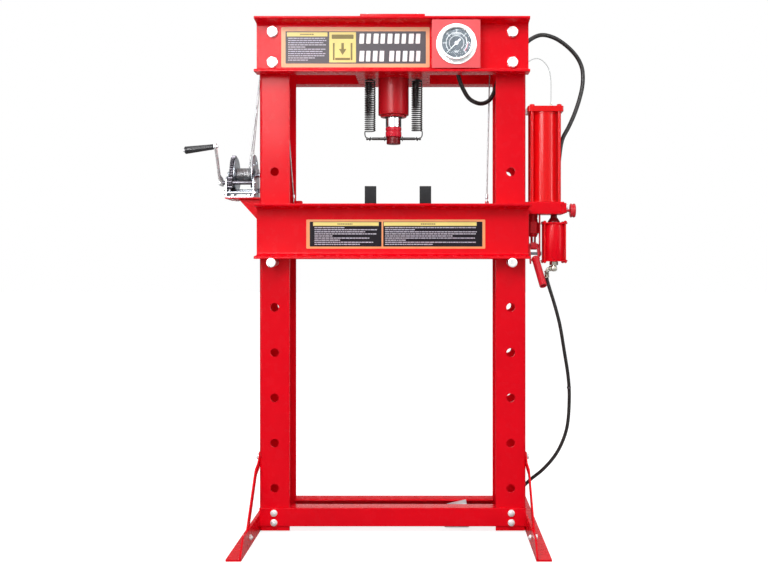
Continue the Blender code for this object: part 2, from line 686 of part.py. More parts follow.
# ---- bed pins and V blocks ----------------------------------------------
PIN_Z = PIN_HOLE_FIRST + PIN_HOLE_PITCH * 5 - 1.8
PIN_PROFILE = [(0, 166), (10, 166), (12.4, 162), (12.4, -172), (17.5, -172),
               (17.5, -178), (15, -180), (0, -180)]         # (radius, y)
BLOCK_LOW, BLOCK_HIGH = BED_TOP + GAP, 1206

for label, side in SIDES:
    x = side * PIN_HOLE_X
    pin = make("bed_pin_" + label, turned(PIN_PROFILE, Y_AXIS, (x, 0, PIN_Z), 20), STEEL)
    place(pin, x, 0, PIN_Z)

for name, x, yaw in (("v_block_left", -82.5, 3.2), ("v_block_right", 114.5, 0.0)):
    outline = [(-150, BLOCK_LOW), (150, BLOCK_LOW), (150, BLOCK_HIGH - 3),
               (147, BLOCK_HIGH), (32, BLOCK_HIGH), (4, BLOCK_HIGH - 30),
               (-4, BLOCK_HIGH - 30), (-32, BLOCK_HIGH), (-147, BLOCK_HIGH),
               (-150, BLOCK_HIGH - 3)]
    shape = prism(outline, "X", x - 20, x + 20)
    bmesh.ops.rotate(shape, verts=shape.verts, cent=(x * MM, 0, 0),
                     matrix=Matrix.Rotation(math.radians(yaw), 3, "Z"))
    v_block = make(name, shape, BLACK, 0)
    place(v_block, x, 0, BLOCK_LOW)

# ---- pump block ---------------------------------------------------------
FULCRUM_X, FULCRUM_Y, FULCRUM_Z = 500.0, -30.0, 975.0       # of the hand lever
PUMP_BOTTOM, PUMP_TOP = 1114.5, 1157.6
KNOB_Z = 1129

outline = [(-55, PUMP_BOTTOM), (55, PUMP_BOTTOM), (55, PUMP_TOP - 3), (52, PUMP_TOP),
           (-52, PUMP_TOP), (-55, PUMP_TOP - 3)]
block = make("pump_block", prism(outline, "X", OUTER_X + GAP, 613), RED, 30)
weld(block, rod((FULCRUM_X, 0, 1120), (FULCRUM_X, 0, 1040), 18.5, 20))
for x in (478, 518):                        # ears that hold the fulcrum
    weld(block, box(x, x + 4, FULCRUM_Y - 12, FULCRUM_Y + 12, 963, 1116))
cut(block, rod((FULCRUM_X, 0, 1030), (FULCRUM_X, 0, 1108), 10.6))
cut(block, rod((600, 0, KNOB_Z), (620, 0, KNOB_Z), 5.6, 12))
cut(block, rod((470, FULCRUM_Y, FULCRUM_Z), (530, FULCRUM_Y, FULCRUM_Z), 5.6, 12))

# ---- air cylinder, canister and valve knob ------------------------------
AIR_X = 540.0                               # axis of the air cylinder
CAP_BOTTOM, CAP_TOP = 1477, 1497

make("air_cylinder", turned(
    [(50, PUMP_TOP + GAP), (50, CAP_BOTTOM - GAP), (46, CAP_BOTTOM - GAP),
     (46, PUMP_TOP + GAP)], Z_AXIS, (AIR_X, 0, 0), 32), RED)

cap = make("air_cylinder_cap", box(477, 602.6, -55, 55, CAP_BOTTOM, CAP_TOP), RED, 0)
for x in (AIR_X - 48, AIR_X + 48):          # tie rods and their nuts
    for y in (-44, 44):
        weld(cap, rod((x, y, 1158), (x, y, 1503), 6, 8))
        weld(cap, prism(circle(9, 6, x, y), "Z", CAP_TOP - 1, 1501.5))

make("air_canister", turned(                # (radius, z)
    [(0, PUMP_BOTTOM - GAP), (14, PUMP_BOTTOM - GAP), (14, 1100), (21, 1092), (22, 1084),
     (45.5, 1084), (45.5, 1080), (43, 1080), (43, 952), (45.5, 952), (45.5, 948),
     (16, 946), (16, 932), (11, 932), (11, 912), (0, 912)], Z_AXIS, (574, 0, 0), 18), RED)

knob = make("release_valve_knob", turned(   # (radius, x)
    [(0, 604), (5, 604), (5, 628), (10, 630), (24, 631), (25, 633), (25, 649),
     (23, 651), (0, 651)], X_AXIS, (0, 0, KNOB_Z), 16), DARK_RED)
place(knob, 640, 0, KNOB_Z)

# ---- plunger and hand lever socket --------------------------------------
LEVER_ARM, LEVER_REST = 35.0, math.radians(50.0)
FULCRUM = Vector((FULCRUM_X, FULCRUM_Y, FULCRUM_Z))
HANDLE_WAY = Vector((25.0, -72.0, -112.0)).normalized()
LINK_Y = FULCRUM_Y + LEVER_ARM * math.cos(LEVER_REST)       # pin in the plunger slot
LINK_Z = FULCRUM_Z + LEVER_ARM * math.sin(LEVER_REST)
LEVER_ROWS = ((-0.12, 4), (-0.06, 8), (0.0, 9), (0.5, 9), (1.0, 9), (1.06, 8),
              (1.12, 4))                    # fraction of the length, half width


def pump_plunger():
    plunger = make("pump_plunger", rod((FULCRUM_X, 0, 1095), (FULCRUM_X, 0, LINK_Z + 9), 10),
                   CHROME)
    weld(plunger, box(FULCRUM_X - 10.5, FULCRUM_X + 10.5, -20, 18, LINK_Z - 13, LINK_Z + 13))
    low, high = LINK_Z - 6.6, LINK_Z + 6.6
    slot = fillet([(-15.5, low), (13.0, low), (13.0, high), (-15.5, high)], [6.4] * 4)
    cut(plunger, prism(slot, "X", 480, 520))
    place(plunger, FULCRUM_X, 0, LINK_Z)


def lever_cheek(x):
    """Flat bar from the link pin past the fulcrum."""
    link = Vector((LINK_Y, LINK_Z))
    tail = (FULCRUM + HANDLE_WAY * 34).yz
    stations = []
    for fraction, half_width in LEVER_ROWS:
        point = link + (tail - link) * fraction
        stations.append((x, point.x, point.y, half_width))
    return flat_bar(stations, 5)


def handle_socket():
    handle = make("handle_socket", lever_cheek(FULCRUM_X - 14.5), DARK_RED)
    weld(handle, lever_cheek(FULCRUM_X + 14.5))
    weld(handle, rod((476, FULCRUM_Y, FULCRUM_Z), (524, FULCRUM_Y, FULCRUM_Z), 5, 10))
    weld(handle, rod((483.5, LINK_Y, LINK_Z), (516.5, LINK_Y, LINK_Z), 4, 10))
    weld(handle, rod(FULCRUM + HANDLE_WAY * 17, FULCRUM + HANDLE_WAY * 138, 13.2, 14))
    cut(handle, rod(FULCRUM + HANDLE_WAY * 40, FULCRUM + HANDLE_WAY * 170, 10.4, 12))
    place(handle, *FULCRUM)


pump_plunger()
handle_socket()

# ---- hoses, centre lines are (x, y, z) ----------------------------------
HYDRAULIC_PATH = (                          # pump block to the back of the gauge
    (590, 70, 1134), (590, 84, 1137), (592, 93, 1152), (597, 96, 1220),
    (604, 96, 1310), (617, 96, 1395), (640, 100, 1440), (661, 104, 1486),
    (680, 108, 1540), (692, 110, 1590), (694.5, 110, 1630), (690, 108, 1660),
    (672, 103, 1694), (632, 90, 1733), (582, 72, 1763), (534, 52, 1769),
    (496, 44, 1752), (466, 40, 1722), (430, 40, 1692), (392, 38, 1655),
    (374, 34, 1600), (362, 30, 1556), (342, 20, 1522), (311, 8, 1511),
    (271, -8, 1529), (246, -22, 1564), (231, -32, 1605), (222, -35, 1655),
    (221, -42, 1683), (221, -56, 1691.5), (221, -73.6, 1692))
AIR_PATH = (                                # air canister to the foot valve
    (562.2, 0, 922), (558.5, 0, 922), (552.5, 0.5, 914), (550.4, 2, 891),
    (559.4, 5, 855), (577.3, 12, 795), (598, 24, 721), (617, 45, 624),
    (634, 62, 525), (640, 78, 450), (634, 92, 342), (618, 100, 287),
    (590, 106, 232), (544, 112, 177), (500, 118, 140), (470, 123, 106),
    (432, 128, 62), (396, 126, 24), (362, 112, 9), (336, 80, 8.5), (318, 50, 14),
    (302, 22, 30), (284, 3, 37.5), (273, 0, 38), (263.5, 0, 38))

hose = make("hydraulic_hose", swept(HYDRAULIC_PATH, 7.5, 8), RUBBER, 60)
weld(hose, rod((590, 55.6, 1134), (590, 72, 1134), 9, 12))  # end fitting
make("air_hose", swept(AIR_PATH, 6.25, 8), RUBBER, 60)

# ---- foot valve, outlines are (x, z) ------------------------------------
HINGE_X, HINGE_Z = 198.0, 60.0

outline = fillet([(188, 5), (262, 5), (262, 52), (236, 52), (226, 40), (207, 40),
                  (206, 65.5), (190, 65.5)], [0, 0, 5, 5, 4, 4, 3, 6], 2)
body = make("foot_valve_body", prism(outline, "Y", -22, 22), ALLOY, 30)
weld(body, box(182, 270, -37, 37, 0, 6))
cut(body, prism(circle(4.8, 12, HINGE_X, HINGE_Z), "Y", -30, 30))

tread = [(192, 67.8), (258, 82), (258, 87), (192, 72.8)]
pedal = make("foot_pedal", prism(tread, "Y", -31, 31), ALLOY, 30)
cheek = [(190, 54), (206, 53), (257, 70), (257, 84), (192.5, 70)]
for y in (-30.5, 26.5):
    weld(pedal, prism(cheek, "Y", y, y + 4))
weld(pedal, rod((HINGE_X, -33, HINGE_Z), (HINGE_X, 33, HINGE_Z), 4.2, 12))
place(pedal, HINGE_X, 0, HINGE_Z)
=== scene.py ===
# Looks of an H-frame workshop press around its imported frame.
# The press stands on z = 0, centred on x = y = 0, with its front towards -Y.
# The winch is outside the left column (-X) and the pump outside the right one (+X).
# Lengths are written in millimetres and MM turns them into metres.
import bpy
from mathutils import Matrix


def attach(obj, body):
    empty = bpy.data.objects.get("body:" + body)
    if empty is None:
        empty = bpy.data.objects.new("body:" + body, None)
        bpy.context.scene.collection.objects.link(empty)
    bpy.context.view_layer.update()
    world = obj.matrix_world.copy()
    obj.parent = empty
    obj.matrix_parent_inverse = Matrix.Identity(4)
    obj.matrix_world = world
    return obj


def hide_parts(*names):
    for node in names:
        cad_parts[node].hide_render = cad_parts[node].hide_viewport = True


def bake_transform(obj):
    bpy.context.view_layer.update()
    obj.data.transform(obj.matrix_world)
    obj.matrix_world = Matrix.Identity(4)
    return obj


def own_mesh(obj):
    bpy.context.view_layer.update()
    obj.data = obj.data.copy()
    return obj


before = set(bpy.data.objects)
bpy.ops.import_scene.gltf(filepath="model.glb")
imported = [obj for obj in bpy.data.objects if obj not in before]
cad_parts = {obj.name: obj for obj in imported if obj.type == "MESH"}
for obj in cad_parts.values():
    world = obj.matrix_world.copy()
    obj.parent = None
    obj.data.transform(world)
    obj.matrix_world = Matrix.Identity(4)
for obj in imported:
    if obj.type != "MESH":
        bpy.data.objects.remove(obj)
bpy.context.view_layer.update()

import math
import random

import bmesh
import bpy
from mathutils import Matrix, Vector

MM = 0.001
rng = random.Random(20)

# shared places
FACE_Y = 93.0               # front and rear faces of the columns
OUTER_X = 465.0             # outer faces of the columns
OPEN_X = 360.0              # open edges of the columns
WALL = 8.0                  # column wall
GAP = 0.3                   # clearance between touching parts
WEB_Y = FACE_Y + GAP + 8.0  # outer face of the channel webs
BEAM_BOLT_X = 418.0
BEAM_BOLT_LEVELS = (("lower", 1640.0), ("upper", 1746.0))
GAUGE_X, GAUGE_Z = 221.0, 1692.0
ENDS = ((-1, "front"), (1, "rear"))     # signs along Y
SIDES = ((-1, "left"), (1, "right"))    # signs along X

# ---------------------------------------------------------------- node helpers


class NodeTree:
    """Shader nodes written as a short list of calls."""

    def __init__(self, tree):
        self.tree = tree

    def node(self, kind, inputs=None, **settings):
        made = self.tree.nodes.new("ShaderNode" + kind)
        for key, value in settings.items():
            setattr(made, key, value)
        for key, value in (inputs or {}).items():
            self.put(made.inputs[key], value)
        return made

    def put(self, socket, value):
        if isinstance(value, bpy.types.NodeSocket):
            self.tree.links.new(value, socket)
        elif isinstance(value, (tuple, list)) and len(value) == 3 \
                and len(socket.default_value) == 4:
            socket.default_value = (*value, 1.0)
        else:
            socket.default_value = value

    def span(self, value, source, target=(0.0, 1.0), **settings):
        """Map the source range to the target range, clamped."""
        return self.node("MapRange", {"Value": value,
                                      "From Min": source[0], "From Max": source[1],
                                      "To Min": target[0], "To Max": target[1]},
                         **settings).outputs["Result"]

    def maths(self, operation, first, second=0.0):
        return self.node("Math", {0: first, 1: second}, operation=operation).outputs[0]


class Graph(NodeTree):
    """The nodes of one Principled material."""

    def __init__(self, name):
        self.material = bpy.data.materials.new(name)
        self.material.use_nodes = True
        super().__init__(self.material.node_tree)
        self.shader = self.tree.nodes["Principled BSDF"]
        self.tex = self.node("TexCoord")
        self.coord = self.tex.outputs["Object"]

    def set(self, key, value):
        self.put(self.shader.inputs[key], value)

    def noise(self, scale, detail=3.0, rough=0.55, vector=None):
        return self.node("TexNoise", {"Vector": vector or self.coord, "Scale": scale,
                                      "Detail": detail, "Roughness": rough}).outputs["Fac"]

    def clouds(self, scale, detail=3.0, rough=0.55, source=(0.3, 0.7), target=(0.0, 1.0)):
        """Noise with its source range mapped to the target range."""
        return self.span(self.noise(scale, detail, rough), source, target)

    def cells(self, scale, output):
        return self.node("TexVoronoi", {"Vector": self.coord, "Scale": scale}).outputs[output]

    def mapping(self, vector, scale):
        return self.node("Mapping", {"Vector": vector, "Scale": scale}).outputs["Vector"]

    def bands(self, vector, scale, distortion, **inputs):
        return self.node("TexWave", {"Vector": vector, "Scale": scale,
                                     "Distortion": distortion, **inputs},
                         wave_type="BANDS", bands_direction="DIAGONAL").outputs["Fac"]

    def mix(self, share, first, second):
        return self.node("Mix", {0: share, 6: first, 7: second}, data_type="RGBA").outputs[2]

    def bump(self, height, strength, distance, normal=None):
        inputs = {"Height": height, "Strength": strength, "Distance": distance * MM}
        if normal is not None:
            inputs["Normal"] = normal
        return self.node("Bump", inputs).outputs["Normal"]

    def edges(self, radius):
        """1 along sharp edges, 0 on flats."""
        soft = self.node("Bevel", {"Radius": radius * MM}, samples=4).outputs["Normal"]
        true = self.node("NewGeometry").outputs["Normal"]
        dot = self.node("VectorMath", {0: soft, 1: true}, operation="DOT_PRODUCT")
        return self.span(dot.outputs["Value"], (0.97, 0.80))


def scaled(colour, factor, lift=0.0):
    return tuple(min(1.0, c * factor + lift) for c in colour)


# ---------------------------------------------------------------- materials


def enamel(name, base, edge, rough, peel=0.022, worn=0.32, shine=0.06, coat=0.035):
    """Sprayed gloss enamel: orange peel, soft colour drift, and lighter edges that are partly
    worn paint and partly a painted highlight.
    """
    graph = Graph(name)
    colour = graph.mix(graph.clouds(scale=5.0, detail=2), scaled(base, 0.90), base)
    mottle = graph.clouds(scale=70.0, detail=4, rough=0.6, source=(0.45, 0.80),
                          target=(0.0, 0.08))
    colour = graph.mix(mottle, colour, scaled(base, 0.72))
    # lighter along edges: partly worn paint, partly a painted highlight
    wear_and_sheen_mask = graph.edges(radius=1.3)
    broken = graph.clouds(scale=60.0, detail=4, source=(0.35, 0.62), target=(0.15, 1.0))
    edge_wear_and_sheen = graph.maths("MULTIPLY", graph.maths("MULTIPLY", wear_and_sheen_mask, broken), worn)
    graph.set("Base Color", graph.mix(edge_wear_and_sheen, colour, edge))
    graph.set("Roughness", graph.clouds(scale=35.0, detail=4, source=(0.25, 0.75),
                                        target=(rough - 0.05, rough + 0.08)))
    graph.set("Specular IOR Level", shine)
    graph.set("Coat Weight", coat)
    graph.set("Coat Roughness", 0.09)
    fine = graph.bump(graph.noise(scale=520.0, detail=2, rough=0.5), strength=peel,
                      distance=0.30)
    graph.set("Normal", graph.bump(graph.noise(scale=130.0, detail=2, rough=0.5),
                                   strength=peel * 0.7, distance=0.8, normal=fine))
    return graph.material


def plated(name, base, rough, cell=260.0, drift=0.14, metallic=1.0):
    """Zinc plating: faint spangle, handling marks, soft blotches."""
    graph = Graph(name)
    spangle = graph.node("SeparateColor", {"Color": graph.cells(cell, "Color")}).outputs[0]
    tone = graph.span(spangle, (0.0, 1.0), (1.0 - drift, 1.0))
    blotch = graph.clouds(scale=45.0, detail=4, target=(0.86, 1.04))
    value = graph.maths("MULTIPLY", tone, blotch)
    graph.set("Base Color", graph.mix(graph.span(value, (0.6, 1.0)), scaled(base, 0.55), base))
    graph.set("Metallic", metallic)
    scratch = graph.noise(scale=300.0, detail=3, rough=0.6,
                          vector=graph.mapping(graph.coord, (1.0, 0.08, 1.0)))
    graph.set("Roughness", graph.span(graph.maths("ADD", spangle, scratch), (0.4, 1.4),
                                      (rough - 0.07, rough + 0.12)))
    fine = graph.bump(scratch, strength=0.10, distance=0.10)
    graph.set("Normal", graph.bump(graph.noise(scale=900.0, detail=2), strength=0.08,
                                   distance=0.08, normal=fine))
    return graph.material


def machined(name, base, rough, along, pitch=0.55, depth=0.25, metallic=1.0):
    """Turned or ground metal with fine rings across an axis."""
    graph = Graph(name)
    part = graph.node("SeparateXYZ", {"Vector": graph.coord}).outputs[along]
    rings = graph.maths("SINE", graph.maths("MULTIPLY", part, 2 * math.pi / (pitch * MM)))
    stray = graph.noise(scale=600.0, detail=2, rough=0.5)
    both = graph.maths("ADD", graph.maths("MULTIPLY", rings, 0.5), stray)
    tarnish = graph.clouds(scale=40.0, detail=4, rough=0.6, source=(0.35, 0.7))
    graph.set("Base Color", graph.mix(tarnish, base, scaled(base, 0.80)))
    graph.set("Metallic", metallic)
    graph.set("Roughness", graph.clouds(scale=70.0, detail=4,
                                        target=(rough * 0.8, rough * 1.3)))
    graph.set("Normal", graph.bump(both, strength=depth, distance=0.04))
    return graph.material


def moulded(name, base, rough, grain=700.0, depth=0.25):
    """Rubber or plastic with a fine moulded grain and lighter sharp edges."""
    graph = Graph(name)
    cloud = graph.clouds(scale=28.0, detail=5, rough=0.65, source=(0.35, 0.7))
    colour = graph.mix(cloud, base, scaled(base, 1.25, lift=0.012))
    # lighter along sharp edges
    dust = graph.maths("MULTIPLY", graph.edges(radius=1.0), 0.35)
    graph.set("Base Color", graph.mix(dust, colour, scaled(base, 1.6, lift=0.05)))
    graph.set("Roughness", graph.clouds(scale=120.0, target=(rough - 0.06, rough + 0.08)))
    graph.set("Specular IOR Level", 0.45)
    fine = graph.bump(graph.noise(scale=grain, detail=3, rough=0.6), strength=depth,
                      distance=0.25)
    graph.set("Normal", graph.bump(graph.cells(grain * 0.6, "Distance"),
                                   strength=depth * 0.4, distance=0.2, normal=fine))
    return graph.material


def cast(name, base, rough, metallic, grain, depth, worn, bare):
    """Sand-cast or blasted metal, with rubbed edges."""
    graph = Graph(name)
    cloud = graph.clouds(scale=30.0, detail=5, rough=0.6)
    colour = graph.mix(cloud, scaled(base, 0.8), scaled(base, 1.15))
    rub = graph.maths("MULTIPLY", graph.edges(radius=1.4),
                      graph.clouds(scale=85.0, detail=4, source=(0.4, 0.6), target=(0.1, 1.0)))
    rub = graph.maths("MULTIPLY", rub, worn)
    graph.set("Base Color", graph.mix(rub, colour, bare))
    graph.set("Metallic", graph.span(rub, (0.0, 1.0), (metallic, 1.0)))
    graph.set("Roughness", graph.clouds(scale=160.0, target=(rough - 0.06, rough + 0.10)))
    coarse = graph.bump(graph.noise(scale=grain, detail=4, rough=0.65), strength=depth,
                        distance=0.5)
    graph.set("Normal", graph.bump(graph.cells(grain * 1.7, "Distance"),
                                   strength=depth * 0.5, distance=0.3, normal=coarse))
    graph.set("Specular IOR Level", 0.5 if metallic > 0.2 else 0.18)
    return graph.material


def vinyl(name, base, rough=0.32, drift=0.10, spec=0.5, fleck=None):
    """Printed film: halftone dots, faint fading and tiny surface dust."""
    graph = Graph(name)
    fade = graph.clouds(scale=14.0, detail=4)
    colour = graph.mix(fade, scaled(base, 1 - drift), base)
    dots = graph.span(graph.cells(1500.0, "Distance"), (0.10, 0.38), (0.0, 0.10))
    graph.set("Base Color", graph.mix(dots, colour, fleck or scaled(base, 1.3, lift=0.03)))
    graph.set("Roughness", graph.clouds(scale=90.0, target=(rough - 0.05, rough + 0.08)))
    graph.set("Specular IOR Level", spec)
    graph.set("Normal", graph.bump(graph.noise(scale=320.0), strength=0.06, distance=0.15))
    return graph.material


def strand(name, base):
    """Galvanised wire rope: fine wires wound the other way to the strands."""
    graph = Graph(name)
    wires = graph.bands(graph.tex.outputs["UV"], scale=9.0, distortion=0.4, Detail=1.0)
    grime = graph.clouds(scale=60.0, detail=4, source=(0.35, 0.7))
    colour = graph.mix(grime, base, scaled(base, 0.55))
    # painted shade: darker in the grooves between the wires
    groove_shade = graph.span(wires, (0.0, 0.35), (0.6, 0.0))
    graph.set("Base Color", graph.mix(groove_shade, colour, scaled(base, 0.25)))
    graph.set("Metallic", 0.9)
    graph.set("Roughness", graph.clouds(scale=150.0, target=(0.26, 0.42)))
    graph.set("Normal", graph.bump(wires, strength=0.5, distance=0.15))
    return graph.material


def hose_cover(name, base):
    """Wrapped rubber cover: faint cloth weave pressed in, scuffs, light dust."""
    graph = Graph(name)
    flat = graph.tex.outputs["UV"]
    one = graph.bands(flat, scale=5.0, distortion=0.2)
    two = graph.bands(graph.mapping(flat, (-1.0, 1.0, 1.0)), scale=5.0, distortion=0.2)
    weave = graph.maths("MAXIMUM", one, two)
    scuff = graph.clouds(scale=70.0, detail=5, rough=0.7, source=(0.5, 0.72))
    graph.set("Base Color", graph.mix(scuff, base, scaled(base, 2.4, lift=0.01)))
    graph.set("Roughness", graph.span(scuff, (0.0, 1.0), (0.36, 0.6)))
    soft = graph.bump(weave, strength=0.30, distance=0.20)
    graph.set("Normal", graph.bump(graph.noise(scale=800.0, detail=2), strength=0.12,
                                   distance=0.15, normal=soft))
    graph.set("Specular IOR Level", 0.32)
    return graph.material


def clear(name, tint, rough):
    """Clear glass or plastic with a little haze."""
    graph = Graph(name)
    haze = graph.clouds(scale=40.0, detail=4, source=(0.3, 0.75))
    graph.set("Base Color", graph.mix(haze, tint, scaled(tint, 0.96)))
    graph.set("Transmission Weight", 1.0)
    graph.set("IOR", 1.12)
    graph.set("Specular IOR Level", 0.25)
    graph.set("Roughness", graph.span(haze, (0.0, 1.0), (rough, rough + 0.05)))
    graph.set("Normal", graph.bump(graph.noise(scale=60.0, detail=2), strength=0.03,
                                   distance=0.1))
    return graph.material


# the edge colours are lighter than the paint: worn paint on the edges and a painted highlight
# along them
RED = enamel("red_enamel", (0.870, 0.0020, 0.0120), edge=(0.95, 0.17, 0.21), rough=0.24)
# paler, pinker copy of the red enamel: painted sheen for the lit gauge plate
PANEL_RED = enamel("panel_enamel", (0.84, 0.030, 0.042), edge=(0.95, 0.34, 0.34), rough=0.44,
                   peel=0.05, shine=0.45)
RAM_RED = enamel("ram_enamel", (0.56, 0.0070, 0.0150), edge=(0.78, 0.12, 0.13), rough=0.31,
                 peel=0.008, worn=0.22, shine=0.15, coat=0.025)
SLEEVE_RED = enamel("sleeve_enamel", (0.78, 0.020, 0.045), edge=(0.92, 0.25, 0.28), rough=0.30,
                    peel=0.006, worn=0.20, shine=0.14, coat=0.05)
NOSE_RED = enamel("nose_enamel", (0.20, 0.006, 0.010), edge=(0.45, 0.10, 0.10), rough=0.32,
                  peel=0.008, worn=0.20, shine=0.16, coat=0.05)
KNOB_RED = enamel("knob_enamel", (0.72, 0.016, 0.030), edge=(0.90, 0.34, 0.34), rough=0.28,
                  peel=0.012, worn=0.35, shine=0.25, coat=0.10)
PUMP_RED = enamel("pump_enamel", (0.870, 0.0030, 0.0060), edge=(0.95, 0.20, 0.21), rough=0.18,
                  peel=0.012, worn=0.32, shine=0.14, coat=0.07)
ZINC = plated("zinc_plate", (0.78, 0.80, 0.83), rough=0.26)
WINCH_ZINC = plated("winch_zinc", (0.44, 0.47, 0.52), rough=0.30)
BOLT = plated("bolt_zinc", (0.90, 0.90, 0.90), rough=0.34, cell=420.0, drift=0.08,
              metallic=0.70)
DARK_ZINC = plated("dark_zinc", (0.15, 0.14, 0.16), rough=0.30, cell=320.0, drift=0.2)
CHROME_Z = machined("ground_chrome", (0.88, 0.88, 0.91), rough=0.09, along="Z", pitch=0.35,
                    depth=0.10)
CHROME_Y = machined("spun_chrome", (0.96, 0.96, 0.96), rough=0.22, along="Y", pitch=0.30,
                    depth=0.08, metallic=0.80)
STEEL_Y = machined("turned_steel_y", (0.94, 0.94, 0.94), rough=0.30, along="Y", metallic=0.75)
CRANK = plated("bright_zinc", (0.93, 0.94, 0.95), rough=0.30, cell=300.0, drift=0.08,
               metallic=0.60)
STEEL_Z = machined("turned_steel_z", (0.62, 0.62, 0.61), rough=0.28, along="Z")
BAR = cast("bar_black", (0.045, 0.043, 0.043), rough=0.28, metallic=0.6, grain=420.0,
           depth=0.06, worn=0.25, bare=(0.42, 0.41, 0.40))
BRASS = machined("fitting_brass", (0.62, 0.52, 0.30), rough=0.26, along="Z", pitch=0.5,
                 depth=0.2)
NICKEL = machined("fitting_nickel", (0.50, 0.48, 0.41), rough=0.26, along="Z", pitch=0.6,
                  depth=0.2)
CABLE = strand("wire_rope", (0.50, 0.50, 0.51))
SPRING = cast("spring_black", (0.009, 0.008, 0.008), rough=0.20, metallic=0.22, grain=480.0,
              depth=0.05, worn=0.12, bare=(0.20, 0.19, 0.18))
IRON = cast("black_iron", (0.0090, 0.0090, 0.0110), rough=0.55, metallic=0.0, grain=420.0,
            depth=0.22, worn=0.35, bare=(0.10, 0.10, 0.10))
ALLOY = cast("cast_alloy", (0.84, 0.83, 0.84), rough=0.34, metallic=0.55, grain=520.0,
             depth=0.22, worn=0.6, bare=(0.85, 0.84, 0.84))
DARK = moulded("bore_dark", (0.010, 0.010, 0.010), rough=0.5)
RUBBER = hose_cover("hose_cover", (0.016, 0.015, 0.015))
GRIP = moulded("grip_plastic", (0.012, 0.012, 0.015), rough=0.34, grain=520.0, depth=0.3)
DIAL = vinyl("dial_face", (0.085, 0.105, 0.130), rough=0.38, drift=0.25)
MARK = vinyl("dial_print", (0.82, 0.85, 0.88), rough=0.4)
MARK_RED = vinyl("dial_print_red", (0.62, 0.16, 0.22), rough=0.4)
NEEDLE = vinyl("pointer_lacquer", (0.95, 0.96, 0.96), rough=0.3, drift=0.04)
AMBER = vinyl("label_border", (0.95, 0.40, 0.16), rough=0.34, spec=0.2)
PEACH = vinyl("label_border_pale", (0.93, 0.50, 0.26), rough=0.36, spec=0.18)
LEMON = vinyl("label_yellow", (0.95, 0.82, 0.26), rough=0.34, spec=0.2)
PALE = vinyl("label_pale_yellow", (0.94, 0.82, 0.27), rough=0.34, spec=0.14)
INK = vinyl("label_ink", (0.010, 0.008, 0.014), rough=0.42, spec=0.08,
            fleck=(0.03, 0.028, 0.036))
INK_GREY = vinyl("label_grey", (0.082, 0.076, 0.090), rough=0.40, spec=0.20)
LINES = vinyl("label_lines", (0.62, 0.62, 0.72), rough=0.4, spec=0.2)
WHITE = vinyl("label_white", (0.98, 0.98, 0.98), rough=0.36, drift=0.02)
OLIVE = vinyl("label_olive", (0.24, 0.20, 0.06), rough=0.4, spec=0.15)
GLASS = clear("gauge_glass", (0.97, 0.985, 0.985), rough=0.02)
TUBE = clear("vent_tube", (0.93, 0.95, 0.95), rough=0.10)

# finishes a scene may repaint; print, dial, glass, brass and clear tube have none
SLOTS = {
    "paint": (RED, PANEL_RED, PUMP_RED),
    "ram_paint": (RAM_RED, SLEEVE_RED, NOSE_RED, KNOB_RED),
    "zinc": (ZINC, WINCH_ZINC, BOLT, DARK_ZINC, STEEL_Y, CRANK, STEEL_Z, NICKEL),
    "chrome": (CHROME_Z, CHROME_Y), "cable": (CABLE,), "spring": (BAR, SPRING),
    "black_iron": (IRON,), "hose": (DARK, RUBBER), "grip": (GRIP,), "alloy": (ALLOY,),
    "needle": (NEEDLE,)}
SLOT_OF = {material.name: slot for slot, group in SLOTS.items() for material in group}

# ---------------------------------------------------------------- pieces


def closed_mesh(name, builder):
    bmesh.ops.recalc_face_normals(builder, faces=builder.faces)
    mesh = bpy.data.meshes.new(name)
    builder.to_mesh(mesh)
    builder.free()
    return mesh


def link(name, data):
    obj = bpy.data.objects.new(name, data)
    bpy.context.scene.collection.objects.link(obj)
    return obj


def piece(name, builder, materials, body="frame", replaces=None, smooth=30, bevel=0.0,
          segments=2, angle=32.0, slot=None):
    """Turn a bmesh into a named piece that rides on a body.  smooth and angle are degrees; a slot
    is worked out from the first material unless one is given, but it is not stored."""
    obj = link(name, closed_mesh(name, builder))
    materials = materials if isinstance(materials, list) else [materials]
    for material in materials:
        obj.data.materials.append(material)
    obj["smooth_angle"] = smooth
    shade(obj)
    if bevel:
        soften(obj, bevel, segments, angle)
    slot = slot or SLOT_OF.get(materials[0].name)
    if body:
        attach(obj, body)
    if replaces:
        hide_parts(replaces)
    return obj


def hardware(name, builder, material=BOLT, body="frame"):
    """Fasteners, fittings and other plain parts without rounded edges."""
    return piece(name, builder, material, body, smooth=35.0)


def shade(obj):
    obj.data.shade_smooth()
    obj.data.set_sharp_from_angle(angle=math.radians(obj["smooth_angle"]))


def soften(obj, width, segments, angle):
    step = obj.modifiers.new("edge_round", "BEVEL")
    step.width = width * MM
    step.segments = segments
    step.limit_method = "ANGLE"
    step.angle_limit = math.radians(angle)
    step.harden_normals = True
    step.use_clamp_overlap = True
    step.miter_outer = "MITER_ARC"


def combine(target, builder, operation):
    """Apply a boolean to an object, beneath its edge rounding."""
    tool = link("tool", closed_mesh("tool", builder))
    rounds = [(m.width, m.segments, m.angle_limit) for m in target.modifiers]
    target.modifiers.clear()
    step = target.modifiers.new("step", "BOOLEAN")
    step.operation = operation
    step.solver = "EXACT"
    step.object = tool
    depsgraph = bpy.context.evaluated_depsgraph_get()
    result = bpy.data.meshes.new_from_object(target.evaluated_get(depsgraph))
    target.modifiers.clear()
    target.data = result
    bpy.data.objects.remove(tool, do_unlink=True)
    shade(target)
    for width, segments, angle in rounds:
        soften(target, width / MM, segments, math.degrees(angle))


def cut(target, builder):
    combine(target, builder, "DIFFERENCE")


def weld(target, builder):
    combine(target, builder, "UNION")


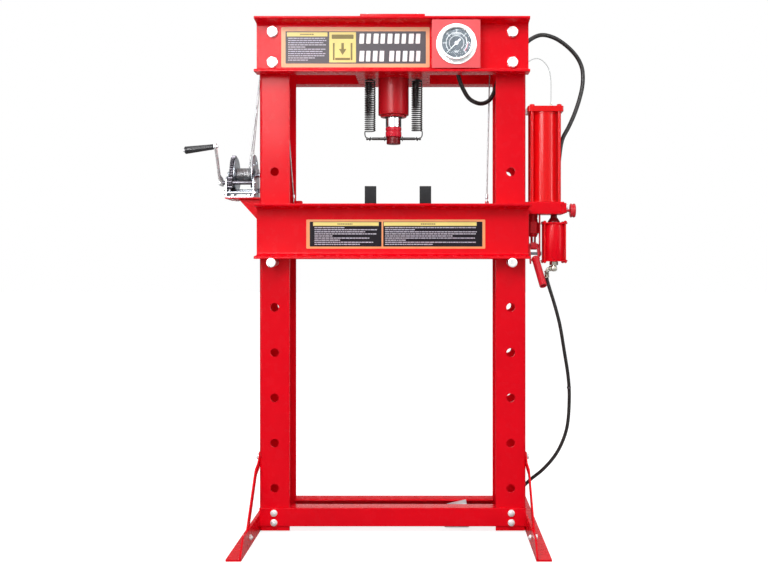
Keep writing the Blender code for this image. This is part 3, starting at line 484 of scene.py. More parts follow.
class Layers:
    """Several closed shells in one piece, each with its own material."""

    def __init__(self):
        self.builder = bmesh.new()
        self.materials = []

    def add(self, material, make, *args):
        if material not in self.materials:
            self.materials.append(material)
        index = self.materials.index(material)
        before = set(self.builder.faces)
        make(*args, builder=self.builder)
        for face in self.builder.faces:
            if face not in before:
                face.material_index = index

    def done(self, name, body="frame", **options):
        return piece(name, self.builder, self.materials, body, **options)


# ---------------------------------------------------------------- outlines


def polar(radius, angle, centre=(0.0, 0.0)):
    return (centre[0] + radius * math.cos(angle), centre[1] + radius * math.sin(angle))


def circle(radius, count, centre=(0.0, 0.0), start=0.0):
    """Points round a circle; start is in radians."""
    return [polar(radius, start + 2 * math.pi * k / count, centre) for k in range(count)]


def arc(centre, radius, start, stop, steps):
    """Points on an arc, with both ends; angles in degrees."""
    return [polar(radius, math.radians(start + (stop - start) * k / steps), centre)
            for k in range(steps + 1)]


def fillet(points, radii, segments=8):
    """Round the corners of an outline; a radius of 0 keeps a corner."""
    out = []
    count = len(points)
    if isinstance(radii, (int, float)):
        radii = [radii] * count
    for i, (corner, radius) in enumerate(zip(points, radii)):
        if radius <= 0:
            out.append(tuple(corner))
            continue
        here = Vector(corner)
        back = (Vector(points[i - 1]) - here).normalized()
        ahead = (Vector(points[(i + 1) % count]) - here).normalized()
        half = back.angle(ahead) / 2
        reach = radius / math.tan(half)
        centre = here + (back + ahead).normalized() * radius / math.sin(half)
        first = here + back * reach - centre
        last = here + ahead * reach - centre
        sweep = first.angle_signed(last)
        for k in range(segments + 1):
            angle = -sweep * k / segments
            out.append((centre.x + first.x * math.cos(angle) - first.y * math.sin(angle),
                        centre.y + first.x * math.sin(angle) + first.y * math.cos(angle)))
    return out


def rectangle(first, second):
    return [(first[0], second[0]), (first[1], second[0]), (first[1], second[1]),
            (first[0], second[1])]


def rounded_rect(first, second, radius, segments=6):
    return fillet(rectangle(first, second), radius, segments)


def side_span(side, near, far):
    """Low and high coordinate of a span that is given outwards from the centre."""
    return sorted((side * near, side * far))


# ---------------------------------------------------------------- solids
# Each adds a closed shell to a builder, or starts a new one.


def box(xs, ys, zs, builder=None):
    builder = builder or bmesh.new()
    corners = [builder.verts.new(Vector((x, y, z)) * MM) for x in xs for y in ys for z in zs]
    for face in ((0, 1, 3, 2), (4, 6, 7, 5), (0, 4, 5, 1), (2, 3, 7, 6),
                 (0, 2, 6, 4), (1, 5, 7, 3)):
        builder.faces.new([corners[i] for i in face])
    return builder


def prism(profile, axis, start, stop, builder=None):
    """Extrude a closed outline.  X takes (y, z), Y takes (x, z), Z takes (x, y)."""
    builder = builder or bmesh.new()

    def ring(at):
        return [builder.verts.new(Vector({"X": (at, *point), "Y": (point[0], at, point[1]),
                                          "Z": (*point, at)}[axis]) * MM)
                for point in profile]

    low, high = ring(start), ring(stop)
    builder.faces.new(low)
    builder.faces.new(high[::-1])
    for i in range(len(profile)):
        j = (i + 1) % len(profile)
        builder.faces.new((low[i], high[i], high[j], low[j]))
    return builder


def drills(axis, low, high, radius, segments, centres, builder=None, start=0.0):
    """A cylinder for each centre, to cut holes with."""
    for centre in centres:
        builder = prism(circle(radius, segments, centre, start), axis, low, high, builder)
    return builder


AXES = {"X": (1, 0, 0), "Y": (0, 1, 0), "Z": (0, 0, 1)}


def turned(profile, axis, centre, segments=64, builder=None, shape=None):
    """Revolve (radius, height along the axis) points; the loop closes by itself.
    shape(angle, radius, height) may change the radius round the turn."""
    builder = builder or bmesh.new()
    direction = AXES[axis] if isinstance(axis, str) else axis
    turn = Vector((0, 0, 1)).rotation_difference(Vector(direction))
    centre = Vector(centre)
    rings = []
    for radius, height in profile:
        if radius < 1e-6:
            rings.append([builder.verts.new((centre + turn @ Vector((0, 0, height))) * MM)])
            continue
        ring = []
        for k in range(segments):
            angle = 2 * math.pi * k / segments
            reach = shape(angle, radius, height) if shape else radius
            ring.append(builder.verts.new(
                (centre + turn @ Vector((*polar(reach, angle), height))) * MM))
        rings.append(ring)
    for one, two in zip(rings, rings[1:] + rings[:1]):
        if len(one) == 1 and len(two) == 1:
            continue
        for k in range(segments):
            j = (k + 1) % segments
            if len(one) == 1:
                builder.faces.new((one[0], two[k], two[j]))
            elif len(two) == 1:
                builder.faces.new((one[k], two[0], one[j]))
            else:
                builder.faces.new((one[k], two[k], two[j], one[j]))
    return builder


def rod(start, end, radius, segments=48, round_off=0.0):
    start, end = Vector(start), Vector(end)
    length = (end - start).length
    off = round_off
    if off:
        profile = [(0, length), (radius - off, length), (radius - 0.3 * off, length - 0.3 * off),
                   (radius, length - off), (radius, off), (radius - 0.3 * off, 0.3 * off),
                   (radius - off, 0), (0, 0)]
    else:
        profile = [(0, length), (radius, length), (radius, 0), (0, 0)]
    return turned(profile, end - start, start, segments)


# hexagon chamfer: slope, flat radius over the half width, and its steps
CHAMFER_SLOPE = 0.58
CHAMFER_FACE = 0.96
CHAMFER_STEPS = (0.0, 0.1, 0.25, 0.45, 0.7, 1.0)


def hexagon_sizes(across):
    """Corner radius, radius of the flat face, and height of the chamfer."""
    corner = across / math.sqrt(3)
    face = across / 2 * CHAMFER_FACE
    return corner, face, (corner - face) * CHAMFER_SLOPE


def hexagon_reach(across, angle):
    return across / 2 / math.cos(angle % (math.pi / 3) - math.pi / 6)


def hexagon(across, low, high, axis, centre, bore=0.0, segments=72, builder=None, spin=0.0):
    """Hexagon nut or head with the curved chamfer a lathe leaves."""
    corner, face, rise = hexagon_sizes(across)

    def shape(angle, radius, height):
        if radius <= bore + 1.0:
            return radius
        return min(hexagon_reach(across, angle - spin), corner,
                   face + (high - height) / CHAMFER_SLOPE,
                   face + (height - low) / CHAMFER_SLOPE)

    profile = [(corner, high - rise * t) for t in CHAMFER_STEPS]
    profile += [(corner, low + rise * t) for t in reversed(CHAMFER_STEPS)]
    if bore:
        mouth = bore + 0.999
        profile = [(bore, high - 1.0), (mouth, high)] + profile \
            + [(mouth, low), (bore, low + 1.0)]
    else:
        profile = [(0, high)] + profile + [(0, low)]
    return turned(profile, axis, centre, segments, builder, shape)


def bolt(across, head, radius, pitch, length, thread, axis="Y", centre=(0, 0, 0), segments=48):
    """One closed hex bolt: centre is under the head, which points along axis."""
    corner, face, rise = hexagon_sizes(across)
    recess = 0.6
    shank = length - thread
    depth = 0.61 * pitch

    def shape(angle, reach, height):
        if height > -0.01 and reach > corner - 0.01:
            return min(hexagon_reach(across, angle), face + (head - height) / CHAMFER_SLOPE,
                       corner)
        if height < -shank - 0.01 and reach > radius - 0.01:
            share = (height / pitch - angle / (2 * math.pi)) % 1.0
            limit = radius - max(0.0, -height - (length - 1.5))
            return min(radius - depth * abs(2 * share - 1), limit)
        return reach

    profile = [(0, head - recess), (face * 0.72, head - recess), (face * 0.80, head)]
    profile += [(corner, head - rise * t) for t in CHAMFER_STEPS]
    profile += [(corner, 0.0), (radius, 0.0), (radius, -shank * 0.5), (radius, -shank)]
    steps = max(6, int(thread / pitch * 6))
    profile += [(radius, -shank - 0.1 - (thread - 0.1) * k / steps) for k in range(steps + 1)]
    profile += [(0, -length)]
    return turned(profile, axis, centre, segments, shape=shape)


def washer(radius, bore, low, high, axis, centre, builder=None, segments=48):
    edge = min(0.4, (high - low) / 4)
    return turned([(bore, high), (radius - edge, high), (radius, high - edge), (radius, low),
                   (bore, low)], axis, centre, segments, builder)


def curve_through(points, spacing):
    """Smooth evenly stepped line through control points."""
    points = [Vector(p) for p in points]
    line = []
    for i in range(len(points) - 1):
        here, ahead = points[i], points[i + 1]
        before = points[i - 1] if i > 0 else here * 2 - ahead
        after = points[i + 2] if i + 2 < len(points) else ahead * 2 - here
        # centripetal spacing keeps short spans from looping
        span_in = max((here - before).length, 1e-3) ** 0.5
        span = max((ahead - here).length, 1e-3) ** 0.5
        span_out = max((after - ahead).length, 1e-3) ** 0.5
        slope_in = (ahead - here) + ((here - before) / span_in
                                     - (ahead - before) / (span_in + span)) * span
        slope_out = (ahead - here) + ((after - ahead) / span_out
                                      - (after - here) / (span + span_out)) * span
        steps = max(1, int((ahead - here).length / spacing))
        for k in range(steps):
            t = k / steps
            line.append(here * (2 * t ** 3 - 3 * t * t + 1) + slope_in * (t ** 3 - 2 * t * t + t)
                        + ahead * (-2 * t ** 3 + 3 * t * t) + slope_out * (t ** 3 - t * t))
    line.append(points[-1])
    return line


def stepped(points, spacing):
    """Straight runs between points, cut into steps no shorter than spacing."""
    line = []
    points = [Vector(p) for p in points]
    for here, ahead in zip(points, points[1:]):
        count = max(1, int((ahead - here).length / spacing))
        line += [here.lerp(ahead, k / count) for k in range(count)]
    return line + [points[-1]]


def running_lengths(path):
    lengths = [0.0]
    for here, ahead in zip(path, path[1:]):
        lengths.append(lengths[-1] + (ahead - here).length)
    return lengths


def swept(path, radius, sides=16, builder=None, section=None, dome=False):
    """Round bar, hose or rope along a line, with lengths kept as UVs.
    section(angle, length) may scale the radius."""
    builder = builder or bmesh.new()
    layer = builder.loops.layers.uv.verify()
    path = [Vector(p) for p in path]
    radii = radius if isinstance(radius, list) else [radius] * len(path)
    lengths = running_lengths(path)
    tangents = [(path[min(i + 1, len(path) - 1)] - path[max(i - 1, 0)]).normalized()
                for i in range(len(path))]
    side = tangents[0].orthogonal().normalized()
    rings = []
    for i, (point, tangent) in enumerate(zip(path, tangents)):
        if i:
            side = tangents[i - 1].rotation_difference(tangent) @ side
        side = (side - tangent * side.dot(tangent)).normalized()
        across = tangent.cross(side)
        ring = []
        for k in range(sides):
            angle = 2 * math.pi * k / sides
            reach = radii[i] * (section(angle, lengths[i]) if section else 1.0)
            ring.append(builder.verts.new(
                (point + (side * math.cos(angle) + across * math.sin(angle)) * reach) * MM))
        rings.append(ring)
    for i, (one, two) in enumerate(zip(rings, rings[1:])):
        for k in range(sides):
            j = (k + 1) % sides
            face = builder.faces.new((one[k], one[j], two[j], two[k]))
            around = [k / sides, (k + 1) / sides, (k + 1) / sides, k / sides]
            along = [lengths[i], lengths[i], lengths[i + 1], lengths[i + 1]]
            for loop, turn, length in zip(face.loops, around, along):
                loop[layer].uv = (turn, length / 20.0)
    for ring, point, way in ((rings[0][::-1], path[0], -tangents[0]),
                             (rings[-1], path[-1], tangents[-1])):
        if dome:
            inner = [builder.verts.new(
                point * MM + (v.co - point * MM) * 0.7 + way * radii[0] * 0.55 * MM)
                for v in ring]
            for k in range(sides):
                j = (k + 1) % sides
                builder.faces.new((ring[k], ring[j], inner[j], inner[k]))
            builder.faces.new(inner)
        else:
            builder.faces.new(ring)
    return builder


def rope_section(angle, length, lay=22.0, strands=6):
    """Six strands twisted round a core, as a scale on the radius."""
    phase = strands * (angle + 2 * math.pi * length / lay)
    return 0.87 + 0.13 * abs(math.cos(phase / 2)) ** 0.7


def rope(path, dome=False):
    return swept(path, 2.5, 18, section=rope_section, dome=dome)


def flat_bar(stations, thickness, builder=None):
    """Flat bar whose faces look along X: stations are (x, y, z, half width)."""
    builder = builder or bmesh.new()
    rings = []
    for i, (x, y, z, half) in enumerate(stations):
        before, after = stations[max(i - 1, 0)], stations[min(i + 1, len(stations) - 1)]
        along = Vector((after[1] - before[1], after[2] - before[2])).normalized()
        across = Vector((-along.y, along.x)) * half
        deep = thickness / 2
        rings.append([builder.verts.new(Vector(p) * MM) for p in (
            (x - deep, y - across.x, z - across.y), (x + deep, y - across.x, z - across.y),
            (x + deep, y + across.x, z + across.y), (x - deep, y + across.x, z + across.y))])
    for one, two in zip(rings, rings[1:]):
        for k in range(4):
            j = (k + 1) % 4
            builder.faces.new((one[k], one[j], two[j], two[k]))
    builder.faces.new(rings[0][::-1])
    builder.faces.new(rings[-1])
    return builder


def bead(points, radius, builder):
    """Weld bead: overlapping ripples along a line."""
    ripple = 2.6
    fine = stepped(points, 1.1)
    sizes = []
    for length in running_lengths(fine):
        wobble = 1.0 + 0.05 * math.sin(length * 0.37) + 0.04 * math.sin(length * 0.11 + 1.0)
        share = (length / ripple) % 1.0
        sizes.append(radius * wobble * (0.90 + 0.13 * math.sin(math.pi * share)))
    sizes[0] *= 0.6
    sizes[-1] *= 0.6
    swept(fine, sizes, 8, builder, dome=True)


def weld_beads(name, radius, lines, material=RED, body="frame"):
    beads = bmesh.new()
    for points in lines:
        bead(points, radius, beads)
    piece(name, beads, material, body, smooth=60)


# ---------------------------------------------------------------- columns
for side, label in SIDES:
    web = OUTER_X - WALL
    lip = FACE_Y - WALL
    outline = fillet([(OUTER_X, -FACE_Y), (OUTER_X, FACE_Y), (OPEN_X, FACE_Y), (OPEN_X, lip),
                      (web, lip), (web, -lip), (OPEN_X, -lip), (OPEN_X, -FACE_Y)],
                     [9, 9, 1.2, 1.2, 3, 3, 1.2, 1.2], 8)
    column = piece("column_%s_shell" % label,
                   prism([(side * x, y) for x, y in outline], "Z", 6, 1775), RED,
                   replaces="column_" + label, bevel=0.7)
    through = (-FACE_Y - 5, FACE_Y + 5)
    outer_wall = side_span(side, 450, 470)
    holes = drills("Y", *through, 15, 56, [(side * 412.5, 154 + 158 * i) for i in range(8)])
    drills("Y", *through, 13.2, 40, [(side * BEAM_BOLT_X, z) for _, z in BEAM_BOLT_LEVELS],
           holes)
    # one pattern for the foot and brace bolts
    drills("X", *outer_wall, 5.6, 28, ((-55, 36), (55, 36), (-68, 262), (68, 262)), holes)
    cut(column, holes)
    cut(column, prism(rounded_rect((-40, 84), (1632, 1768), 8), "X", *outer_wall))


# ---------------------------------------------------------------- channels
def rolled_channel(name, side, bottom, body, replaces):
    """Channel with its web against the column and its flanges pointing outwards."""
    back, front = FACE_Y + GAP, WEB_Y
    edge, top = back + 70.0, bottom + 190.0
    outline = fillet([(back, bottom), (back, top), (edge, top), (edge, top - 9),
                      (front, top - 14), (front, bottom + 14), (edge, bottom + 9),
                      (edge, bottom)], [1.5, 1.5, 1.0, 5, 9, 9, 5, 1.0], 8)
    return piece(name, prism([(side * y, z) for y, z in outline], "X", -474, 474), RED, body,
                 replaces, bevel=0.8)


for side, label in ENDS:
    beam = rolled_channel("upper_channel_" + label, side, 1598.0, "frame",
                          "upper_beam_" + label)
    web_span = side_span(side, FACE_Y - 4, FACE_Y + 14)
    holes = drills("Y", *web_span, 13.2, 40,
                   [(x, z) for x in (-BEAM_BOLT_X, BEAM_BOLT_X) for _, z in BEAM_BOLT_LEVELS])
    if side < 0:
        drills("Y", *web_span, 14, 40, [(GAUGE_X, GAUGE_Z)], holes)
    cut(beam, holes)
    rolled_channel("lower_channel_" + label, side, 955.3, "bed", "bed_channel_" + label)

# spacer plates between the two bed channels, with the lift lugs:
# label, plate span in x, lug span in x, x of the lug hole
for label, plate_x, lug_x, hole_x in (("left", (-341, -329), (-372, -334), -366.0),
                                      ("right", (329, 341), (331.5, 345), 337.6)):
    spacer = piece("bed_web_plate_" + label, box(plate_x, (-FACE_Y, FACE_Y), (975.3, 1125.3)),
                   RED, "bed", "bed_spacer_" + label, bevel=0.8)
    weld(spacer, prism(rounded_rect(lug_x, (1098, 1168), 5.5), "Y", 66, 74))
    cut(spacer, drills("Y", 60, 80, 3.4, 28, [(hole_x, 1158.5)]))
    lines = []
    for side, _ in ENDS:
        for x in (plate_x[0] - 1.2, plate_x[1] + 1.2):
            y = side * (FACE_Y - 1.2)
            lines.append([(x, y, 982), (x, y, 1119)])
    weld_beads("bed_web_weld_" + label, 3.2, lines, body="bed")
    if label == "left":
        radius, start, stop = 2.2, (-342, 1101), (-342, 1124)
    else:
        radius, start, stop = 2.0, (332, 1126.2), (340, 1126.2)
    weld_beads("lift_lug_weld_" + label, radius,
               [[(start[0], y, start[1]), (stop[0], y, stop[1])] for y in (65.0, 75.0)],
               body="bed")


# ---------------------------------------------------------------- labels
def word_row(layers, material, xs, z, height, face, words=(4.0, 15.0), gap=2.0, keep=1.0,
             thick=0.04, shortest=3):
    """A row of plain dashes, standing for printed lines.  keep is the share of the row
    that is filled."""
    x = xs[0]
    limit = xs[0] + (xs[1] - xs[0]) * keep
    while x < limit - shortest:
        wide = min(rng.uniform(*words), limit - x)
        layers.add(material, box, (x, x + wide), (face - thick, face + 0.02),
                   (z - height / 2, z + height / 2))
        x += wide + gap


def film(layers, material, xs, zs, face, thick=0.06, radius=1.2):
    layers.add(material, prism, rounded_rect(xs, zs, radius, 3), "Y", face - thick, face + 0.02)


BORDER_Y = -WEB_Y           # back of the border film
PANEL_Y = BORDER_Y - 0.30   # back of the dark panels
PRINT_Y = PANEL_Y - 0.06    # back of the print on the panels
OVER_Y = PRINT_Y - 0.06     # back of the print on yellow films
HEADING = dict(words=(3.5, 6), gap=1.6)

label = Layers()
film(label, PEACH, (-388, 129), (1623, 1763), BORDER_Y, 0.30, 4.0)
film(label, INK_GREY, (-373, 116), (1636, 1748.5), PANEL_Y, radius=1.5)
film(label, LEMON, (-368, -227), (1730.5, 1745), PRINT_Y)
word_row(label, OLIVE, (-322, -272), 1737.5, 4.5, OVER_Y, **HEADING)
for i, keep in enumerate((0.97, 1.0, 0.92, 0.99, 0.45, 0.98, 0.90, 1.0, 0.95, 0.7, 0.52)):
    word_row(label, LINES, (-364, -231), 1724.2 - i * 7.6, 2.9, PRINT_Y, (5, 18), 1.8, keep)
film(label, PALE, (-220.7, -127.5), (1640, 1746), PRINT_Y)
# generic pictogram: an arrow pushes down on a plate between two posts
# (x span, z span, corner radius)
for xs, zs, radius in (((-212, -136), (1722, 1737), 2.0), ((-208, -202), (1648, 1708), 1.0),
                       ((-146, -140), (1648, 1708), 1.0), ((-200, -148), (1648, 1656), 1.0),
                       ((-178.5, -169.5), (1686, 1708), 0.8)):
    film(label, OLIVE, xs, zs, OVER_Y, 0.05, radius)
label.add(OLIVE, prism, [(-187, 1687), (-174, 1666), (-161, 1687)], "Y", OVER_Y - 0.05,
          OVER_Y + 0.02)
# two rows of leaning white blocks: bottom, top, number of blocks in each group
WORD_GAP = 0.45     # extra gap between groups, in block pitches
LEAN = 2.2
for row, (bottom, top, groups) in enumerate(((1705.5, 1740.5, (9,)), (1643.5, 1680.5, (4, 5)))):
    pitch = 221.0 / (sum(groups) + (len(groups) - 1) * WORD_GAP)
    x = -116.5
    for group in groups:
        for k in range(group):
            wide = pitch * (0.66, 0.60, 0.70, 0.62, 0.67)[(k + row * 2) % 5]
            block = [(x, bottom), (x + wide, bottom), (x + wide + LEAN, top), (x + LEAN, top)]
            label.add(WHITE, prism, fillet(block, 2.0, 3), "Y", PRINT_Y - 0.05, PRINT_Y + 0.02)
            x += pitch
        x += pitch * WORD_GAP
label.done("upper_label")

label = Layers()
film(label, AMBER, (-300.5, 323), (991.3, 1092.5), BORDER_Y, 0.30, 3.0)
film(label, INK, (-288.5, -38.5), (998.5, 1085.0), PANEL_Y)
film(label, INK, (-32.5, 313), (998.5, 1085.0), PANEL_Y)
for xs, middle in (((-277, -48), -166), ((-30.5, 293), 125)):
    film(label, LEMON, xs, (1070.5, 1083.5), PRINT_Y)
    word_row(label, OLIVE, (middle - 26, middle + 26), 1077, 4.2, OVER_Y, **HEADING)
for xs, keeps in (((-272, -50), (0.47, 0.98, 0.80, 0.97, 0.28, 0.88, 0.40, 0.92, 0.73)),
                  ((-26, 300), (0.97, 0.33, 0.98, 0.98, 0.72, 0.96, 0.22, 0.98, 0.52))):
    for i, keep in enumerate(keeps):
        word_row(label, LINES, xs, 1064.5 - i * 7.3, 3.0, PRINT_Y, (4, 16), 1.7, keep)
label.done("bed_label", "bed")

# ---------------------------------------------------------------- frame bolts
BEAM_BOLT = dict(across=34, head=12.5, radius=12, pitch=3.0)
RAIL_BOLT = dict(across=19, head=7.5, radius=6, pitch=1.75)
FOOT_BOLT = dict(across=17, head=6.5, radius=5, pitch=1.5)
WINCH_BOLT = dict(across=16, head=6.4, radius=5, pitch=1.5)


def place_bolt(shape, position, flipped, spin):
    """Move a bolt that was made along Y; flipped points its head to the front."""
    bmesh.ops.transform(shape, matrix=Matrix.Translation(Vector(position) * MM)
                        @ Matrix.Rotation(math.pi if flipped else 0.0, 4, "X")
                        @ Matrix.Rotation(spin, 4, "Y"), verts=shape.verts)
    return shape


for side, label in SIDES:
    for level, z in BEAM_BOLT_LEVELS:
        name = "%s_%s" % (label, level)
        x = side * BEAM_BOLT_X
        spin = rng.uniform(0, 1)
        shape = bolt(**BEAM_BOLT, length=237, thread=60, segments=60)
        piece("bolt_" + name, place_bolt(shape, (x, -104.3, z), True, spin), BOLT,
              replaces="beam_bolt_" + name)
        hardware("washer_front_" + name, washer(18.6, 12.6, -104.3, -101.5, "Y", (x, 0, z)))
        hardware("washer_rear_" + name, washer(18.6, 12.6, 101.5, 104.3, "Y", (x, 0, z)))
        hardware("nut_" + name, hexagon(34, 104.4, 123.0, "Y", (x, 0, z), 12.2,
                                        spin=spin + 0.5))

# ---------------------------------------------------------------- base rails
RAIL_X = 414
for side, label in ENDS:
    inner, outer = FACE_Y + GAP, FACE_Y + GAP + 6
    plate = fillet([(outer, 22), (outer, 86.5), (inner, 86.5), (inner, 22)],
                   [2.5, 2.0, 1.0, 2.5], 6)
    angle = fillet([(outer, 22), (outer, 86.5), (36, 86.5), (36, 80.5), (inner, 80.5),
                    (inner, 22)], [2.5, 2.0, 3.0, 0.8, 6.0, 2.5], 6)
    rail = piece("cross_rail_" + label, prism([(side * y, z) for y, z in plate], "X",
                                              -OUTER_X, OUTER_X),
                 RED, replaces="base_rail_" + label, bevel=0.6)
    weld(rail, prism([(side * y, z) for y, z in angle], "X", -359, 359))
    places = [(x, z) for x in (-RAIL_X, RAIL_X) for z in (36, 69)]
    cut(rail, drills("Y", side * 90, side * 104, 6.6, 32, places))
    for x, z in places:
        name = "%s_%s_%d" % (label, "left" if x < 0 else "right", z)
        # the head is inside the column and the nut outside
        shape = place_bolt(bolt(**RAIL_BOLT, length=32, thread=26, segments=40),
                           (x, side * 84.9, z), side > 0, rng.uniform(0, 1))
        hardware("rail_bolt_" + name, shape)
        hardware("rail_washer_" + name,
                 washer(12, 6.5, *side_span(side, 99.4, 101.6), "Y", (x, 0, z)))
        hardware("rail_nut_" + name,
                 hexagon(19, *side_span(side, 101.7, 111.7), "Y", (x, 0, z), 6.1, 48,
                         spin=rng.uniform(0, 1)))


# ---------------------------------------------------------------- feet and braces
def side_bolt(name, side, y, z, face, inner, length, thread, spin):
    """Bolt along X: washer and head outside the face, nut inside.  name has a gap for
    the part."""
    hardware(name % "bolt", bolt(**FOOT_BOLT, length=length, thread=thread, axis=(side, 0, 0),
                                 centre=(side * (face + 1.7), y, z), segments=40))
    hardware(name % "washer", washer(10.5, 5.5, *side_span(side, face + 0.1, face + 1.6), "X",
                                     (0, y, z)))
    hardware(name % "nut", hexagon(17, *side_span(side, inner, inner - 8), "X", (0, y, z), 5.1,
                                   48, spin=spin))


FOOT_X = OUTER_X + GAP      # inner face of the foot angles
FOOT_THICK = 6
FOOT_END = 453.0            # half length of a foot
BOLT_Y = 55                 # foot bolts
BRACE_TOP = (68.0, 262.0)   # upper hole of a brace, (y, z)
BRACE_LOW = (300.0, 37.8)   # lower hole of a brace, (y, z)
for side, label in SIDES:
    # foot: angle bar with tapered ends, turned up against the column
    leg = fillet([(-FOOT_END, 0), (FOOT_END, 0), (FOOT_END, 12), (FOOT_END - 52, 63),
                  (-FOOT_END + 52, 63), (-FOOT_END, 12)], [1.0, 1.0, 3.0, 8.0, 8.0, 3.0], 5)
    foot = piece("foot_angle_" + label,
                 prism(leg, "X", *side_span(side, FOOT_X, FOOT_X + FOOT_THICK)), RED,
                 replaces="foot_" + label, bevel=0.6)
    tread = fillet(rectangle((FOOT_X + 2, 515.0), (-FOOT_END, FOOT_END))[:1]
                   + [(515.0, -FOOT_END), (515.0, FOOT_END), (FOOT_X + 2, FOOT_END)],
                   [0, 3.5, 3.5, 0], 5)
    weld(foot, prism([(side * x, y) for x, y in tread], "Z", 0, 5.8))
    root = [(FOOT_X + 5.9, 5.7), (FOOT_X + 10.5, 5.7)] \
        + arc((FOOT_X + 10.5, 10.3), 4.6, 252, 198, 3) + [(FOOT_X + 5.9, 10.3)]
    weld(foot, prism([(side * x, z) for x, z in root], "Y", -FOOT_END + 6, FOOT_END - 6))
    cut(foot, drills("X", side * 463, side * 474, 5.6, 28,
                     [(y, 36) for y in (-300, -BOLT_Y, BOLT_Y, 300)]))
    for way, end in ENDS:
        side_bolt("foot_%%s_%s_%s" % (label, end), side, way * BOLT_Y, 36, face=471.3,
                  inner=456.9, length=30, thread=22, spin=0.0)

    for way, end in ENDS:
        # the brace bends outwards from the column face to the foot face
        high = side * (FOOT_X + 2.5)
        low = side * (FOOT_X + FOOT_THICK + GAP + 2.5)
        start, stop = Vector(BRACE_TOP), Vector((307.0, 31.0))
        length = (stop - start).length
        stations = []
        for t in [-0.048 + 0.006 * k for k in range(8)] \
                + [0.0, 0.08, 0.12, 0.16, 0.20, 0.24, 1.0] \
                + [1.048 - 0.006 * k for k in range(7, -1, -1)]:
            reach = max(0.0, -t, t - 1.0) * length
            half = 15.0 * math.sqrt(max(0.02, 1 - (reach / 16.4) ** 2)) if reach > 0 else 15.0
            share = min(1.0, max(0.0, (t - 0.10) / 0.12))
            share = share * share * (3 - 2 * share)
            point = start + (stop - start) * t
            stations.append((high + (low - high) * share, way * point.x, point.y, half))
        name = "%s_%s" % (label, end)
        brace = piece("brace_bar_" + name, flat_bar(stations, 5), RED,
                      replaces="brace_" + name, smooth=40, bevel=0.7, angle=50)
        top_y, low_y = way * BRACE_TOP[0], way * BRACE_LOW[0]
        cut(brace, drills("X", side * 463, side * 480, 5.6, 28, [(low_y, BRACE_LOW[1])]))
        cut(brace, drills("X", side * 460, side * 476, 5.6, 28, [(top_y, BRACE_TOP[1])]))
        for level, y, z, face, inner in (("low", low_y, 37.0, 476.7, 465.2),
                                         ("top", top_y, BRACE_TOP[1], 470.4, 456.9)):
            side_bolt("brace_%%s_%s_%s" % (level, name), side, y, z, face, inner,
                      length=face + 1.7 - inner + 12, thread=20, spin=rng.uniform(0, 1))

# ---------------------------------------------------------------- ram
BARREL_TOP = 1788.0
BARREL_R = 54.5
BAR_Z = 1386                # spring cross bar
piece("ram_barrel", turned(
    [(0, BARREL_TOP), (BARREL_R - 1.5, BARREL_TOP), (BARREL_R, BARREL_TOP - 1.5),
     (BARREL_R, 1476.5), (BARREL_R - 0.8, 1475.4), (BARREL_R - 0.8, 1474.4),
     (BARREL_R, 1473.6), (BARREL_R, 1472.6)] + arc((BARREL_R - 3.2, 1472.2), 3.2, 0, -90, 6)
    + [(41.4, 1469.0), (40, 1470.4), (40, BARREL_TOP - 26), (0, BARREL_TOP - 26)],
    "Z", (0, 0, 0), 112), RAM_RED, replaces="ram_cylinder")
gland = piece("ram_gland_nut", turned(
    [(46.2, 1468.7), (47, 1467.9), (47, 1464.4), (45.6, 1463.0), (45, 1462.0), (30.5, 1462.0),
     (28.6, 1463.6), (28.6, 1501), (39.4, 1501), (39.4, 1468.7)], "Z", (0, 0, 0), 96),
    RAM_RED, replaces="ram_gland", bevel=0.35)
cut(gland, drills("Z", 1458, 1466.8, 4.2, 20, circle(47.2, 6, start=0.3)))
piece("ram_wiper_seal", turned(
    [(29.8, 1461.9), (31.6, 1461.9), (31.6, 1460.4), (29.6, 1459.0), (28.35, 1459.0),
     (28.35, 1460.4)], "Z", (0, 0, 0), 80), DARK)
piece("ram_piston_rod", turned(
    [(0, 1732), (38.4, 1732), (39.4, 1731), (39.4, 1718), (37.6, 1717), (37.6, 1711),
     (39.4, 1710), (39.4, 1693), (38.4, 1692), (28, 1692), (28, 1690), (28, 1430),
     (28, 1427.4), (27.4, 1426.3), (0, 1426.3)], "Z", (0, 0, 0), 112),
    CHROME_Z, "ram", "ram_rod", smooth=20)
piece("ram_end_sleeve", turned(
    [(0, 1426), (27.6, 1426), (28.5, 1425.1), (28.5, 1416.2), (27.7, 1415.2), (26.8, 1413.6),
     (26.8, 1411.6), (27.7, 1410.2), (28.5, 1409.4), (28.5, 1393.6), (27.9, 1392.3),
     (25.4, 1391.6), (0, 1391.6)], "Z", (0, 0, 0), 96), SLEEVE_RED, "ram", "ram_head")
nose = piece("ram_nose", turned(
    [(0, 1391.3), (24.6, 1391.3), (25.0, 1390.6), (25.0, 1380.6), (24.4, 1380.0),
     (24.4, 1378.8), (25.0, 1378.2), (25.0, 1370.0)] + arc((22.2, 1368.8), 2.8, 0, -90, 6)
    + [(0, 1366.0)], "Z", (0, 0, 0), 96), NOSE_RED, "ram")
cut(nose, rod((-40, 0, BAR_Z), (40, 0, BAR_Z), 5.3, 32))
# half of the bar; the neck near each end takes a spring hook
bar_half = [(5.0, 76.4), (3.6, 77.0), (3.6, 91.0), (5.0, 91.6), (5.0, 97), (4.2, 98), (0, 98)]
piece("spring_cross_bar", turned([(r, -h) for r, h in reversed(bar_half)] + bar_half, "X",
                                 (0, 0, BAR_Z), 32), BAR, "ram", "spring_bar")
collars = bmesh.new()
for x in (-31.5, 31.5):
    washer(8.5, 5.1, x - 1.4, x + 1.4, "X", (0, 0, BAR_Z), collars, 32)
hardware("spring_bar_collars", collars, BAR, "ram")

